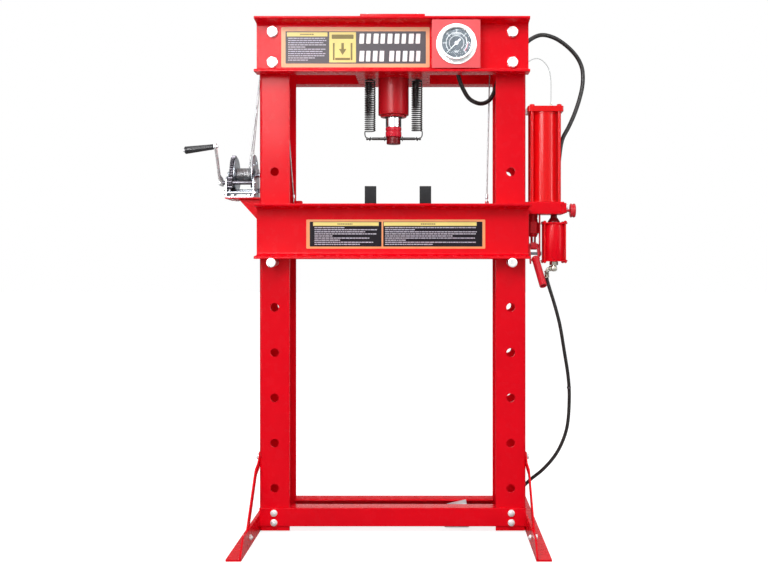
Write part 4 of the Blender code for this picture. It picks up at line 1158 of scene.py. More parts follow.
piece("cylinder_cap_plate", prism(rounded_rect((-113, 113), (-110, 110), 4, 5), "Z",
                                  BARREL_TOP + GAP, 1808), RED,
      replaces="cylinder_top_plate", bevel=1.4, segments=3)
seat = piece("cylinder_seat", box((-130, 130), (-FACE_Y, FACE_Y), (1598, 1618)), RED,
             replaces="cylinder_seat_plate", bevel=1.0)
cut(seat, rod((0, 0, 1588), (0, 0, 1638), BARREL_R + 0.6, 96))
screw_places = [(x, y) for x in (-88, 88) for y in (-84, 84)]
screws = bmesh.new()
for x, y in screw_places:
    turned([(0, 1815.2), (5.6, 1815.2), (8.2, 1813.6), (8.5, 1812.4), (8.5, 1808.0),
            (0, 1808.0)], "Z", (x, y, 0), 40, screws)
screws = piece("cap_plate_screws", screws, BOLT)
cut(screws, drills("Z", 1811.0, 1820, 4.0, 6, screw_places, start=0.3))
ring = [(x, y, 1619.2) for x, y in circle(BARREL_R * 1.02, 60)]
weld_beads("cylinder_seat_weld", 2.6, [ring + ring[:1]] + [
    [(-128, side * (FACE_Y - 1), 1619), (128, side * (FACE_Y - 1), 1619)] for side in (-1, 1)])
weld_beads("cap_plate_weld", 2.2, [
    [(side * 114, -106, 1789.0), (side * 114, 106, 1789.0)] for side in (-1, 1)])

SPRING_X = 84.0


def return_spring(label, out, wide_coil, narrow_coil):
    """Close-wound pull spring: hooks at both ends, one over the cross bar.  The coils
    part a little round wide_coil and narrow_coil."""
    x = out * SPRING_X
    mean, wire, per_turn, coils = 18.2, 1.95, 24, 28
    top, low = 1594.0, 1412.5
    path = [(x, 0, 1597.2), (x + out * 2.5, 2.0, 1596.6), (x + out * 8, 4, 1596.0),
            (x + out * 13, 5, 1595.2)]
    gaps = [5.05 + 0.9 * math.exp(-((k - wide_coil) / 3.2) ** 2)
            + 0.5 * math.exp(-((k - narrow_coil) / 1.6) ** 2) for k in range(coils)]
    scale = (top - low) / sum(gaps)
    heights = [top]
    for gap in gaps:
        heights.append(heights[-1] - gap * scale)
    for k in range(coils * per_turn + 1):
        turn, part = divmod(k, per_turn)
        below = heights[min(turn + 1, coils)]
        z = heights[turn] + (below - heights[turn]) * part / per_turn
        angle = 2 * math.pi * k / per_turn + (0 if out > 0 else math.pi)
        path.append((*polar(mean, angle, (x, 0.0)), z))
    last = x + out * mean
    # steps from the last coil to the hook: (outwards, y, z)
    path += [(last + out * step, y, z) for step, y, z in (
        (0.5, 1.5, 1409.5), (0.6, 2.5, 1405), (0.2, 3.5, 1399), (-1.8, 5.0, 1393.5),
        (-6.0, 6.8, 1389.0), (-11.5, 7.4, 1385.5))]
    # round hook in the bar's neck
    reach = 3.6 + wire + 0.5
    for k in range(1, 15):
        angle = -math.radians(225) * k / 14
        path.append((x + out * (2.5 - 4.5 * k / 14), (reach + 0.6) * math.cos(angle),
                     BAR_Z + reach * math.sin(angle)))
    obj = piece("pull_spring_" + label, swept(path, wire, 10, dome=True), SPRING, None,
                "return_spring_" + label, smooth=60)
    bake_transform(obj)


return_spring("left", -1, wide_coil=23, narrow_coil=8)
return_spring("right", 1, wide_coil=19, narrow_coil=23)
collars = bmesh.new()
for x in (-SPRING_X, SPRING_X):
    turned([(2.9, 1597.9), (7.4, 1597.9), (8.4, 1597.5), (8.4, 1595.9), (7.6, 1595.3),
            (2.9, 1595.3)], "Z", (x, 0, 0), 32, collars)
hardware("spring_top_collars", collars, SPRING)

# ---------------------------------------------------------------- gauge
GAUGE = (GAUGE_X, GAUGE_Z)
GAUGE_CENTRE = (GAUGE_X, 0, GAUGE_Z)
DIAL_Y = -177.9             # front of the dial
panel = piece("gauge_plate", prism(rounded_rect((137, 303), (1610, 1776), 2.5, 4), "Y",
                                   -163, -160),
              PANEL_RED, replaces="gauge_panel", bevel=0.5)
for xs in ((137.3, 140), (300, 302.7)):
    weld(panel, box(xs, (-161, -101.8), (1628, 1758)))
cut(panel, drills("Y", -170, -150, 50.5, 96, [GAUGE]))
weld_beads("gauge_plate_weld", 1.7,
           [[(x, -103.0, low), (x, -103.0, high)] for x in (138 - 1.6, 302 + 1.6)
            for low, high in ((1632, 1654), (1730, 1754))], PANEL_RED)

piece("gauge_housing", turned(
    [(0, -74), (7.5, -74), (7.5, -92), (9, -93), (9, -96), (9, -112), (45, -112), (49, -116),
     (49, -163.2), (69.2, -163.2), (70, -164.0), (70, -165.4), (69.0, -166.3), (58.5, -166.3),
     (56.4, -167.2), (56.0, -168.6), (56, -184.6)]
    + [(54.8 + 1.2 * math.cos(math.radians(t)), -185.6 - 2.4 * math.sin(math.radians(t)))
       for t in (0, 22, 45, 67, 90)]
    + [(52.4, -187.7), (50.9, -186.9), (50.2, -185.4), (50.0, -179.0), (49.9, -177.2),
       (0, -177.2)], "Y", GAUGE_CENTRE, 128), CHROME_Y, replaces="gauge_case", smooth=28)
hardware("gauge_stem_hex", hexagon(22, -111.5, -101.0, "Y", GAUGE_CENTRE, segments=48), BRASS)

dial = Layers()
dial.add(DIAL, turned, [(0, -177.3), (49.6, -177.3), (49.8, DIAL_Y), (0, DIAL_Y)], "Y",
         GAUGE_CENTRE, 96)


def dial_arc(material, inner, outer, start, stop, steps, thick=0.12):
    """Printed arc; angles in degrees from +X towards +Z."""
    far = arc(GAUGE, outer, start, stop, steps)
    near = arc(GAUGE, inner, start, stop, steps)
    for k in range(steps):
        dial.add(material, prism, [far[k], far[k + 1], near[k + 1], near[k]], "Y",
                 DIAL_Y - thick, DIAL_Y + 0.02)


def turned_about_gauge(points, angle):
    """Turn (along, across) points by an angle and move them to the gauge centre."""
    cosine, sine = math.cos(angle), math.sin(angle)
    return [(GAUGE_X + along * cosine - across * sine, GAUGE_Z + along * sine + across * cosine)
            for along, across in points]


def dial_tick(angle, inner, outer, half):
    quad = [(inner, -half), (outer, -half), (outer, half), (inner, half)]
    dial.add(MARK, prism, turned_about_gauge(quad, math.radians(angle)), "Y",
             DIAL_Y - 0.16, DIAL_Y + 0.02)


dial_arc(MARK, 35.2, 36.4, 225, -45, 60)
dial_arc(MARK_RED, 36.9, 39.4, 0, -45, 12, 0.10)
dial_arc(MARK, 24.6, 25.5, 225, -45, 48)
for k in range(61):
    angle = 225 - 270 * k / 60
    if k % 10 == 0:
        dial_tick(angle, 31.6, 40.4, 0.75)
    elif k % 5 == 0:
        dial_tick(angle, 33.2, 39.6, 0.45)
    else:
        dial_tick(angle, 34.0, 37.6, 0.22)
for k in range(31):
    dial_tick(225 - 270 * k / 30, 22.6, 25.2, 0.3 if k % 5 else 0.55)
for half, z in ((15, 27.5), (10, 31.6), (9, -27.5), (6, -31.0)):
    word_row(dial, MARK, (GAUGE_X - half, GAUGE_X + half), GAUGE_Z + z, 1.8, DIAL_Y,
             words=(2.0, 4.2), gap=0.9, thick=0.1, shortest=1)
dial_tick(-90, 43.5, 48.0, 1.0)
dial.done("gauge_dial")

figures = bmesh.new()
for k in range(7):
    curve = bpy.data.curves.new("figure", "FONT")
    curve.body = str(k * 10)
    curve.size = 0.0072
    curve.extrude = 0.00009
    curve.align_x = "CENTER"
    curve.align_y = "CENTER"
    curve.resolution_u = 3
    figure = link("figure", curve)
    mesh = bpy.data.meshes.new_from_object(figure.evaluated_get(
        bpy.context.evaluated_depsgraph_get()))
    angle = math.radians(225 - 45 * k)
    place = Vector((GAUGE_X + 44.6 * math.cos(angle), DIAL_Y - 0.08,
                    GAUGE_Z + 44.2 * math.sin(angle))) * MM
    mesh.transform(Matrix.Translation(place) @ Matrix.Rotation(math.pi / 2, 4, "X"))
    bpy.data.objects.remove(figure, do_unlink=True)
    figures.from_mesh(mesh)
    bpy.data.meshes.remove(mesh)
bmesh.ops.remove_doubles(figures, verts=figures.verts, dist=1e-6)
hardware("gauge_figures", figures, MARK)

# pointer outline: (along, across) from the pivot
pointer = [(38.5, 0.35), (38.5, -0.35), (6.5, -1.5)] + arc((0, 0), 6.4, -20, -160, 10) \
    + [(-7.5, -2.4), (-13, -3.4), (-17.5, -3.0), (-19, 0), (-17.5, 3.0), (-13, 3.4),
       (-7.5, 2.4)] + arc((0, 0), 6.4, 160, 20, 10) + [(6.5, 1.5)]
needle = Layers()
needle.add(NEEDLE, prism, turned_about_gauge(pointer, math.radians(225)), "Y", -180.9, -179.9)
needle.add(CHROME_Y, turned, [(0, -182.3), (2.2, -182.3), (3.0, -181.6), (3.0, -178.3),
                              (0, -178.3)], "Y", GAUGE_CENTRE, 32)
needle.done("gauge_pointer", "needle", replaces="gauge_needle", bevel=0.15, segments=1)
hardware("gauge_window", turned([(0, -184.9), (49.0, -184.7), (49.7, -184.2), (49.7, -183.1),
                                 (49.2, -182.9), (0, -183.3)], "Y", GAUGE_CENTRE, 96), GLASS)

# ---------------------------------------------------------------- bed pins and press plates
for side, label in SIDES:
    piece("support_pin_" + label, turned(
        [(0, 166), (8.6, 166), (10.4, 164.6), (12.4, 160.5), (12.4, -171.9), (13.2, -172.0),
         (14.2, -172.1)] + arc((14.4, -173.9), 1.8, 90, 0, 5)[1:] + [(16.2, -176.8)]
        + arc((13.6, -177.2), 2.6, 0, -90, 6)[1:] + [(10.0, -180.0), (9.4, -179.4),
                                                     (0, -179.4)],
        "Y", (side * 412.5, 0, 942.2), 72), STEEL_Y, "pin_" + label, "bed_pin_" + label)

# bars along Y with a notch in the top: label, x, yaw in degrees
for label, x, yaw in (("left", -82.5, 3.2), ("right", 114.5, 0.0)):
    low, high = 1145.6, 1206.0
    outline = fillet([(-150, low), (150, low), (150, high), (32, high), (5, high - 30),
                      (-5, high - 30), (-32, high), (-150, high)],
                     [1.5, 1.5, 5.0, 2.5, 3.5, 3.5, 2.5, 5.0], 6)
    shape = prism(outline, "X", x - 20, x + 20)
    bmesh.ops.rotate(shape, verts=shape.verts, cent=(x * MM, 0, 0),
                     matrix=Matrix.Rotation(math.radians(yaw), 3, "Z"))
    piece("press_plate_" + label, shape, IRON, "v_block_" + label, "v_block_" + label,
          bevel=1.2, segments=3)

# ---------------------------------------------------------------- winch
DRUM = (35.0, 1258.0)       # drum axis, (y, z)
PINION = (-45.5, 1225.0)    # crank axis, (y, z)
WINCH_BOLTS = ((-568, -40), (-512, -40), (-568, 42), (-512, 42))
TOOTH_MODULE = 3.0


def gear_outline(teeth, phase, centre, steps=5):
    """Stub involute teeth, 25 degree pressure angle, with backlash."""
    pressure = math.radians(25)
    pitch_r = teeth * TOOTH_MODULE / 2
    base_r = pitch_r * math.cos(pressure)
    tip_r, root_r = pitch_r + 0.75 * TOOTH_MODULE, pitch_r - 1.1 * TOOTH_MODULE
    half_pitch = (math.pi * TOOTH_MODULE / 2 - 0.6) / 2 / pitch_r
    involute = math.tan(pressure) - pressure
    out = []
    for n in range(teeth):
        middle = phase + 2 * math.pi * n / teeth
        flank = []
        for k in range(steps):
            radius = root_r + (tip_r - root_r) * k / (steps - 1)
            slant = math.acos(min(1.0, base_r / max(radius, base_r)))
            flank.append((radius, half_pitch + involute - (math.tan(slant) - slant)))
        flank[0] = (root_r, flank[0][1] + 0.25 / root_r)
        out += [(radius, middle - half) for radius, half in flank]
        out.append((tip_r + 0.15, middle))
        out += [(radius, middle + half) for radius, half in reversed(flank)]
        out.append((root_r - 0.15, middle + math.pi / teeth))
    return [polar(radius, angle, centre) for radius, angle in out]


shelf = piece("winch_shelf", prism(rounded_rect((-592, -466.5), (-66, 70), 3.0, 4), "Z",
                                   1168, 1172), RED, replaces="winch_bracket", bevel=0.6)
weld(shelf, box((-470, -465.3), (-66, 70), (1080, 1171.5)))
gusset = [(-468, 1170), (-545, 1170), (-545, 1166), (-474, 1088), (-468, 1088)]
lines = []
for gusset_y in (-50, 45):
    weld(shelf, prism(gusset, "Y", gusset_y, gusset_y + 5))
    for y in (gusset_y - 1.2, gusset_y + 6.2):
        lines += [[(-471.2, y, 1094), (-471.2, y, 1164)], [(-476, y, 1167), (-540, y, 1167)]]
lines += [[(-467.5, y, 1090), (-467.5, y, 1160)] for y in (-67.3, 71.3)]
weld_beads("winch_shelf_weld", 2.2, lines)

cheeks = piece("winch_side_frame", prism(rounded_rect((-588.5, -491.5), (-63, 63), 3, 4), "Z",
                                         1172.3, 1176.3),
               WINCH_ZINC, replaces="winch_frame", bevel=0.5)
cheek = fillet([(-62, 1173.5), (62, 1173.5), (62, 1225), (60, 1282), (14, 1282), (-28, 1246),
                (-62, 1246)], [0, 0, 30, 16, 14, 20, 14], 6)
for x in (-590, -494):
    weld(cheeks, prism(cheek, "X", x, x + 4))
bores = drills("X", -600, -480, 8.8, 36, [DRUM])
drills("X", -600, -480, 7.8, 36, [PINION], bores)
prism(rounded_rect((-20, 26), (1188, 1206), 8.5), "X", -600, -480, bores)
cut(cheeks, bores)
for target in (cheeks, shelf):
    cut(target, drills("Z", 1160, 1182, 5.4, 28, WINCH_BOLTS))
for i, (x, y) in enumerate(WINCH_BOLTS, 1):
    hardware("winch_bolt_%d" % i, bolt(**WINCH_BOLT, length=12.8, thread=9, axis="Z",
                                       centre=(x, y, 1178.0), segments=36))
    shape = washer(10, 5.5, 1176.4, 1177.9, "Z", (x, y, 0), segments=36)
    hexagon(14, 1164.8, 1167.9, "Z", (x, y, 0), 5.1, 36, shape)
    hardware("winch_nut_%d" % i, shape)
# tie bars between the cheeks
ties = bmesh.new()
for y, z in ((52, 1204), (-52, 1190)):
    turned([(0, -494.2), (5, -494.2), (5, -586.2), (0, -586.2)], "X", (0, y, z), 32, ties)
    for low, high in ((-490.0, -484.5), (-595.5, -590.0)):
        hexagon(15, low, high, "X", (0, y, z), segments=36, builder=ties)
hardware("winch_tie_bars", ties, WINCH_ZINC)

drum = piece("cable_drum", turned(
    [(0, -484), (7.2, -484), (8, -484.8), (8, -499.6), (12, -500.0), (40, -500.0), (72.6, -500),
     (74, -501), (74, -503), (72.6, -504), (40, -504), (21, -504.5), (21, -564.5), (62.6, -565),
     (64, -566), (64, -568), (62.6, -569), (12, -569), (12, -569.6), (8, -569.8), (8, -590.6),
     (7.2, -591.5), (0, -591.5)], "X", (0, *DRUM), 96), WINCH_ZINC, "winch_drum", "winch_drum")
cut(drum, drills("X", -506, -498, 8, 28, circle(50, 6, DRUM, 0.2)))

toward = math.atan2(PINION[1] - DRUM[1], PINION[0] - DRUM[0])
gear = piece("drum_gear", prism(gear_outline(46, toward + math.pi / 46, DRUM), "X", -582, -570),
             DARK_ZINC, "winch_drum", "winch_gear", smooth=40, bevel=0.25, segments=1)
holes = drills("X", -590, -560, 8.5, 40, [DRUM])
drills("X", -590, -560, 11.5, 32, circle(38, 5, DRUM, 0.5), holes)
cut(gear, holes)
wraps = [(-507.6 - 5.2 * k / 40, *polar(23.6, 2 * math.pi * k / 40, DRUM))
         for k in range(int(10.6 * 40) + 1)]
piece("drum_cable_wraps", rope(wraps, dome=True), CABLE, "winch_drum", smooth=60)
nuts = hexagon(22, -483.9, -476.0, "X", (0, *DRUM), segments=40)
hexagon(22, -600.5, -591.6, "X", (0, *DRUM), segments=40, builder=nuts)
hardware("drum_axle_nuts", nuts, WINCH_ZINC, "winch_drum")

pinion = piece("pinion_shaft", prism(gear_outline(12, toward + math.pi, PINION), "X",
                                     -584, -568), DARK_ZINC, "winch_crank",
               "winch_pinion_shaft", smooth=40, bevel=0.2, segments=1)
weld(pinion, rod((-616, *PINION), (-486, *PINION), 7, 40, round_off=1.0))
nut = hexagon(19, -614.6, -607.6, "X", (0, *PINION), 7.1, 40)
washer(12, 7.2, -487.6, -486.2, "X", (0, *PINION), nut, 36)
hardware("crank_hub_nut", nut, ZINC, "winch_crank")

CRANK_WAY = Vector((-154.5, 110.8)).normalized()    # along the arm, (y, z)
CRANK_LENGTH = 190
# stations of the arm: (x, distance from the crank axis, half width)
stations = []
for k in range(9):
    along = -14 + 14 * k / 8
    stations.append((-604.0, along, 13.0 * math.sqrt(max(0.04, 1 - (along / 14.2) ** 2))))
stations += [(-604.2, 8, 12.6), (-605.4, 16, 11.4), (-607.3, 23, 10.4), (-608.6, 29, 10.0),
             (-608.9, 34, 10.0), (-606.5, 68, 10.0), (-603.5, 100, 10.0), (-600.4, 140, 10.0),
             (-597.6, 182, 10.0)]
for k in range(8):
    past = 12.5 * k / 7
    stations.append((-597.0 + 0.03 * k, CRANK_LENGTH + past,
                     10.5 * math.sqrt(max(0.03, 1 - (past / 13) ** 2))))


def on_crank(along):
    """(y, z) at a distance from the crank axis."""
    return PINION[0] + CRANK_WAY.x * along, PINION[1] + CRANK_WAY.y * along


arm = piece("crank_arm", flat_bar([(x, *on_crank(along), half) for x, along, half in stations],
                                  6),
            CRANK, "winch_crank", "winch_crank_arm", smooth=40, bevel=0.9, angle=50)
cut(arm, rod((-640, *PINION), (-580, *PINION), 7.3, 40))
tilt = math.radians(7)
grip_way = Vector((-math.cos(tilt), 0, -math.sin(tilt)))
grip_base = (-597, *on_crank(CRANK_LENGTH))
piece("grip_stud", turned([(0, 109.2), (5.2, 109.2), (6.4, 108.0), (6.4, 105.6), (4, 105.4),
                           (4, 4.6), (6.5, 4.4), (6.5, 0.0), (5.5, -6.0), (5.5, -8.5),
                           (0, -8.5)], grip_way, grip_base, 40), ZINC, "winch_crank")


def grip_shape(angle, radius, height):
    """Twelve shallow flutes that fade out at both ends."""
    flute = 0.0
    if radius >= 6 and 16 < height < 88:
        fade = min(1.0, (height - 16) / 6, (88 - height) / 6)
        flute = 0.45 * fade * max(0.0, math.cos(angle * 12)) ** 2
    return radius - flute


profile = [(4.5, 6.6), (7.6, 6.6), (8.8, 7.6), (9.6, 9.4), (9.6, 11.4), (8.9, 12.0),
           (8.9, 12.8), (9.7, 13.4), (9.7, 15.2)]
profile += [(9.4 + 2.9 * (h - 16) / 74, h) for h in range(16, 91, 3)]
profile += [(12.6, 92.0), (12.6, 93.4), (11.8, 94.0), (11.8, 94.8), (12.7, 95.4), (12.7, 97.0),
            (11.9, 97.6), (11.9, 98.4), (12.8, 99.0), (12.8, 101.6), (12.0, 103.4),
            (10.6, 104.3), (4.5, 104.6)]
piece("hand_grip", turned(profile, grip_way, grip_base, 96, shape=grip_shape), GRIP,
      "winch_grip", "winch_grip", smooth=28)

# ratchet pawl on the inner face of the right cheek
pawl = fillet([(14, 1216), (24, 1216), (30, 1226), (22, 1231), (10, 1224)], [3, 4, 1.0, 3, 4],
              5)
pawl = prism([(y - 52, z - 6) for y, z in pawl], "X", -503, -497.5)
turned([(0, -494.2), (3.5, -494.2), (3.5, -503.2), (5.5, -503.2), (5.5, -505.4), (0, -505.4)],
       "X", (0, -33, 1214), 28, pawl)
piece("ratchet_pawl", pawl, DARK_ZINC, bevel=0.3, segments=1)

# ---------------------------------------------------------------- pulleys and cables
PULLEY_Z = 1690
LEFT_X, RIGHT_X = -444, 312     # pulley axes
GROOVE_R = 38.0                 # rope centre on a pulley
NEAR_Y, FAR_Y = 66.0, 76.0      # the two grooves
for label, x, axle_y in (("left", LEFT_X, 84.9), ("right", RIGHT_X, 93.2)):
    outline = [(6.2, 80.6), (9.5, 81.8), (11, 81.0), (12, 79.6), (27, 79.0), (31, 80.4),
               (41.2, 81.0), (42, 80.4)]
    for groove in (FAR_Y, NEAR_Y):
        outline += [(41.9, groove + 3.8)]
        outline += [(35.0 + 3.2 * (1 - math.cos(math.radians(t)))
                     + (1.2 if abs(t) > 80 else 0), groove + 2.8 * math.sin(math.radians(t)))
                    for t in (80, 55, 30, 0, -30, -55, -80)]
        outline += [(41.9, groove - 3.8)]
    outline += [(42, 60.6), (41.2, 60.0), (31, 60.6), (27, 62.0), (12, 61.4), (11, 60.0),
                (9.5, 56.0), (8.6, 54.4), (6.2, 54.2)]
    centre = (x, 0, PULLEY_Z)
    pulley = piece("sheave_" + label, turned(outline, "Y", centre, 80), ZINC,
                   "pulley_" + label, "top_pulley_" + label, smooth=32)
    cut(pulley, drills("Y", 50, 90, 5.5, 24, circle(19.5, 4, (x, PULLEY_Z), 0.4)))
    piece("sheave_axle_" + label, turned(
        [(0, axle_y), (13, axle_y), (13, axle_y - 2.0), (9.0, axle_y - 2.6),
         (6.0, axle_y - 2.8), (6.0, 46.8), (5.2, 46.0), (0, 46.0)], "Y", centre, 36), STEEL_Y)
    hardware("sheave_nut_" + label, hexagon(19, 47.4, 53.0, "Y", centre, 6.1, 40))


def over_pulley(pulley_x, y, start, stop):
    count = max(2, int(abs(stop - start) / 3.0))
    return [(x, y, z) for x, z in arc((pulley_x, PULLEY_Z), GROOVE_R, start, stop, count)]


for label, path in (
        ("left", [(-519, 59.5, 1259)] + over_pulley(LEFT_X, NEAR_Y, 180, 0)),
        ("right", [(-529, 59.5, 1259)] + over_pulley(LEFT_X, FAR_Y, 180, 90)
         + over_pulley(RIGHT_X, FAR_Y, 90, 0))):
    piece("lift_rope_%s_run" % label, rope(stepped(path, 3.2)), CABLE,
          replaces="lift_cable_%s_run" % label, smooth=60)
for label, top_point, low_point in (
        ("left", (LEFT_X + GROOVE_R, NEAR_Y, 1690.2), (-366, 70, 1174)),
        ("right", (RIGHT_X + GROOVE_R, FAR_Y, 1690.2), (337.6, 70, 1174))):
    fall = piece("lift_rope_%s_fall" % label, rope(stepped([top_point, low_point], 3.2)), CABLE,
                 replaces="lift_cable_%s_fall" % label, smooth=60)
    x, y, _ = low_point
    share = 1 - 0.158 / (1.6896 - 1.182)
    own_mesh(fall)
    # swaged sleeve and eye that passes through the lug; one side as (offset in y, z)
    half = [(1.6, 1178)] + [(3.4 + 3.6 * math.sin(math.pi * k / 8), 1176 - 9 * k / 8)
                            for k in range(1, 5)] + [(7.2, 1163.0), (6.2, 1159.4), (3.0, 1158.0)]
    loop = [(x, y - out, z) for out, z in half] + [(x, y, 1157.9)] \
        + [(x, y + out, z) for out, z in reversed(half)]
    eye = swept(curve_through(loop, 1.2), 1.9, 12)
    lean = (Vector(top_point) - Vector(low_point)).normalized()
    turned([(0, 18), (3.4, 18), (4.6, 16.8), (4.9, 15), (4.6, 12.4), (4.9, 10.5), (4.6, 8),
            (4.9, 5.5), (4.6, 3.5), (4.4, 1.0), (3.6, 0), (0, 0)], lean, (x, y, 1173.5), 32,
           eye, lambda angle, radius, height:
           radius * (1 + 0.10 * math.cos(2 * angle)) if radius > 3 else radius)
    piece("lift_rope_%s_eye" % label, eye, ZINC, "bed", smooth=50)

# ---------------------------------------------------------------- pump block
MOTOR_X = 540.0             # air motor axis
CANISTER_X = 574.0          # canister axis
block = piece("pump_valve_block", prism(
    fillet(rectangle((-55, 55), (1114.5, 1157.6)), [1.5, 1.5, 3.5, 3.5], 5), "X", 465.3, 604.5),
    RED, replaces="pump_block", bevel=1.2, segments=3)
weld(block, prism(rounded_rect((-50, 50), (1118, 1154), 3, 5), "X", 600, 613))
cut(block, rod((600, 0, 1129), (620, 0, 1129), 5.6, 32))
plugs = bmesh.new()
hexagon(17, 613.1, 619.0, "X", (0, 34, 1129), segments=40, builder=plugs)
hexagon(17, 613.1, 619.0, "X", (0, -34, 1140), segments=40, builder=plugs)
hexagon(14, 55.1, 60.5, "Y", (512, 0, 1134), segments=40, builder=plugs)
hardware("pump_port_plugs", plugs, ZINC)
screw_places = [(x, z) for x in (484, 596) for z in (1124, 1148)]
screws = bmesh.new()
for x, z in screw_places:
    turned([(0, -61), (4.4, -61), (5.4, -60.4), (5.6, -59.6), (5.6, -55.1), (0, -55.1)], "Y",
           (x, 0, z), 32, screws)
screws = piece("pump_block_screws", screws, RED)
cut(screws, drills("Y", -65, -57.6, 2.9, 6, screw_places, start=0.2))

# ---------------------------------------------------------------- hand pump
FULCRUM_X, FULCRUM_Y, FULCRUM_Z = 500.0, -30.0, 975.0
barrel_at = (FULCRUM_X, 0, 0)
barrel = turned([(10.6, 1114.3), (16.4, 1114.3), (16.4, 1104), (15.2, 1103), (15.2, 1099),
                 (16.4, 1098), (16.4, 1089.5), (17.6, 1088.5), (17.6, 1087), (10.6, 1087)],
                "Z", barrel_at)
hexagon(36.5, 1046, 1086.8, "Z", barrel_at, 10.6, builder=barrel)
turned([(10.6, 1045.8), (16.2, 1045.8), (16.2, 1041.4), (14.6, 1040), (13.2, 1035.5),
        (12.4, 1034.6), (10.6, 1034.6)], "Z", barrel_at, builder=barrel)
hardware("hand_pump_barrel", barrel, RAM_RED)
strap = [(FULCRUM_Y - 12, 1114.3)] + arc((FULCRUM_Y, FULCRUM_Z), 12, 180, 360, 15) \
    + [(FULCRUM_Y + 12, 1114.3)]
straps = bmesh.new()
for x in (478, 518):
    prism(strap, "X", x, x + 4, straps)
straps = piece("fulcrum_straps", straps, RAM_RED, bevel=0.5)
cut(straps, rod((470, FULCRUM_Y, FULCRUM_Z), (530, FULCRUM_Y, FULCRUM_Z), 5.6, 32))

# ---------------------------------------------------------------- air motor
piece("air_motor_barrel", turned([(50, 1157.9), (50, 1476.7), (46, 1476.7), (46, 1157.9)], "Z",
                                 (MOTOR_X, 0, 0), 128), PUMP_RED, replaces="air_cylinder")
bands = bmesh.new()
for low, high in ((1157.8, 1163.5), (1471.0, 1476.8)):
    turned([(50.2, high), (51.6, high), (52.2, high - 0.6), (52.2, low + 0.6), (51.6, low),
            (50.2, low)], "Z", (MOTOR_X, 0, 0), 96, bands)
hardware("air_motor_bands", bands, PUMP_RED)
piece("air_motor_head", prism(rounded_rect((477, 602.6), (-55, 55), 7), "Z", 1477, 1497),
      PUMP_RED, replaces="air_cylinder_cap", bevel=1.2, segments=3)
rods = bmesh.new()
nuts = bmesh.new()
for x in (-48, 48):
    for y in (-44, 44):
        place = (MOTOR_X + x, y, 0)
        turned([(0, 1503.6), (5.2, 1503.6), (6, 1502.8), (6, 1157.7), (0, 1157.7)], "Z",
               place, 40, rods)
        hexagon(16, 1498.4, 1502.6, "Z", place, 6.1, 40, nuts, spin=x * y)
        washer(9.4, 6.3, 1497.1, 1498.3, "Z", place, nuts, 36)
hardware("air_motor_tie_rods", rods, PUMP_RED)
hardware("air_motor_tie_nuts", nuts, RED)
vent = hexagon(13, 1497.1, 1503.0, "Z", (564, 0, 0), segments=36)
turned([(1.9, 1503.1), (3.9, 1503.1), (3.9, 1508), (3.2, 1509), (3.2, 1512), (1.9, 1512)], "Z",
       (564, 0, 0), 32, vent)
hardware("vent_fitting", vent, NICKEL)
vent_line = [
    (564, 0, 1506), (564.2, 0, 1540), (563.4, 0, 1600), (556, 2, 1638), (540, 5, 1662),
    (520, 9, 1675), (500, 14, 1674), (482, 19, 1664), (466, 24, 1655), (452, 30, 1640),
    (446, 34, 1622)]
piece("vent_tube", swept(curve_through(vent_line, 4.0), 1.7, 12), TUBE, smooth=60)

# ---------------------------------------------------------------- canister
canister_at = (CANISTER_X, 0, 0)
piece("canister_shell", turned(
    [(0, 1080.2), (40.5, 1080.2), (42.2, 1079.2), (43, 1077.4), (43, 955.0), (42.2, 953.0),
     (40.5, 952.0), (0, 952.0)], "Z", canister_at, 112), RED, replaces="air_canister")
flange = rounded_rect((CANISTER_X - 45.5, CANISTER_X + 45.5), (-45.5, 45.5), 20, 10)
flanges = prism(flange, "Z", 1080.2, 1085.4)
prism(flange, "Z", 946.8, 952.0, flanges)
piece("canister_flanges", flanges, RED, bevel=0.7)
rods = bmesh.new()
for side in (-1, 1):
    for way in (-1, 1):
        place = (CANISTER_X + side * 36.6, way * 36.6, 0)
        turned([(0, 1091.5), (2.6, 1091.5), (3, 1091), (3, 941.0), (2.6, 940.5), (0, 940.5)],
               "Z", place, 24, rods)
        hexagon(10, 1085.5, 1090.0, "Z", place, 3.1, 36, rods)
        hexagon(10, 942.2, 946.7, "Z", place, 3.1, 36, rods)
hardware("canister_tie_rods", rods, PUMP_RED)
neck = turned([(0, 1114.3), (11.0, 1114.3), (11.6, 1113.4), (11.6, 1104), (13.5, 1102),
               (20.5, 1091.5), (21.6, 1089), (21.6, 1085.5), (0, 1085.5)], "Z", canister_at)
hardware("canister_neck", neck, NOSE_RED)
elbow = hexagon(27, 933.2, 946.7, "Z", canister_at, segments=60)
turned([(0, 933.1), (9.0, 933.1), (9.6, 931), (10.0, 927), (11.6, 924.6), (12.2, 921),
        (11.4, 916.4), (9.0, 913.0), (5.0, 911.2), (0, 910.8)], "Z", canister_at, 56, elbow)
hexagon(17, -17.5, -11.0, "Y", (CANISTER_X, 0, 921.0), segments=40, builder=elbow)
turned([(0, -11.0), (7.4, -11.0), (7.4, -8.0), (0, -8.0)], "Y", (CANISTER_X, 0, 921.0), 40,
       elbow)
hardware("canister_elbow", elbow, NICKEL)

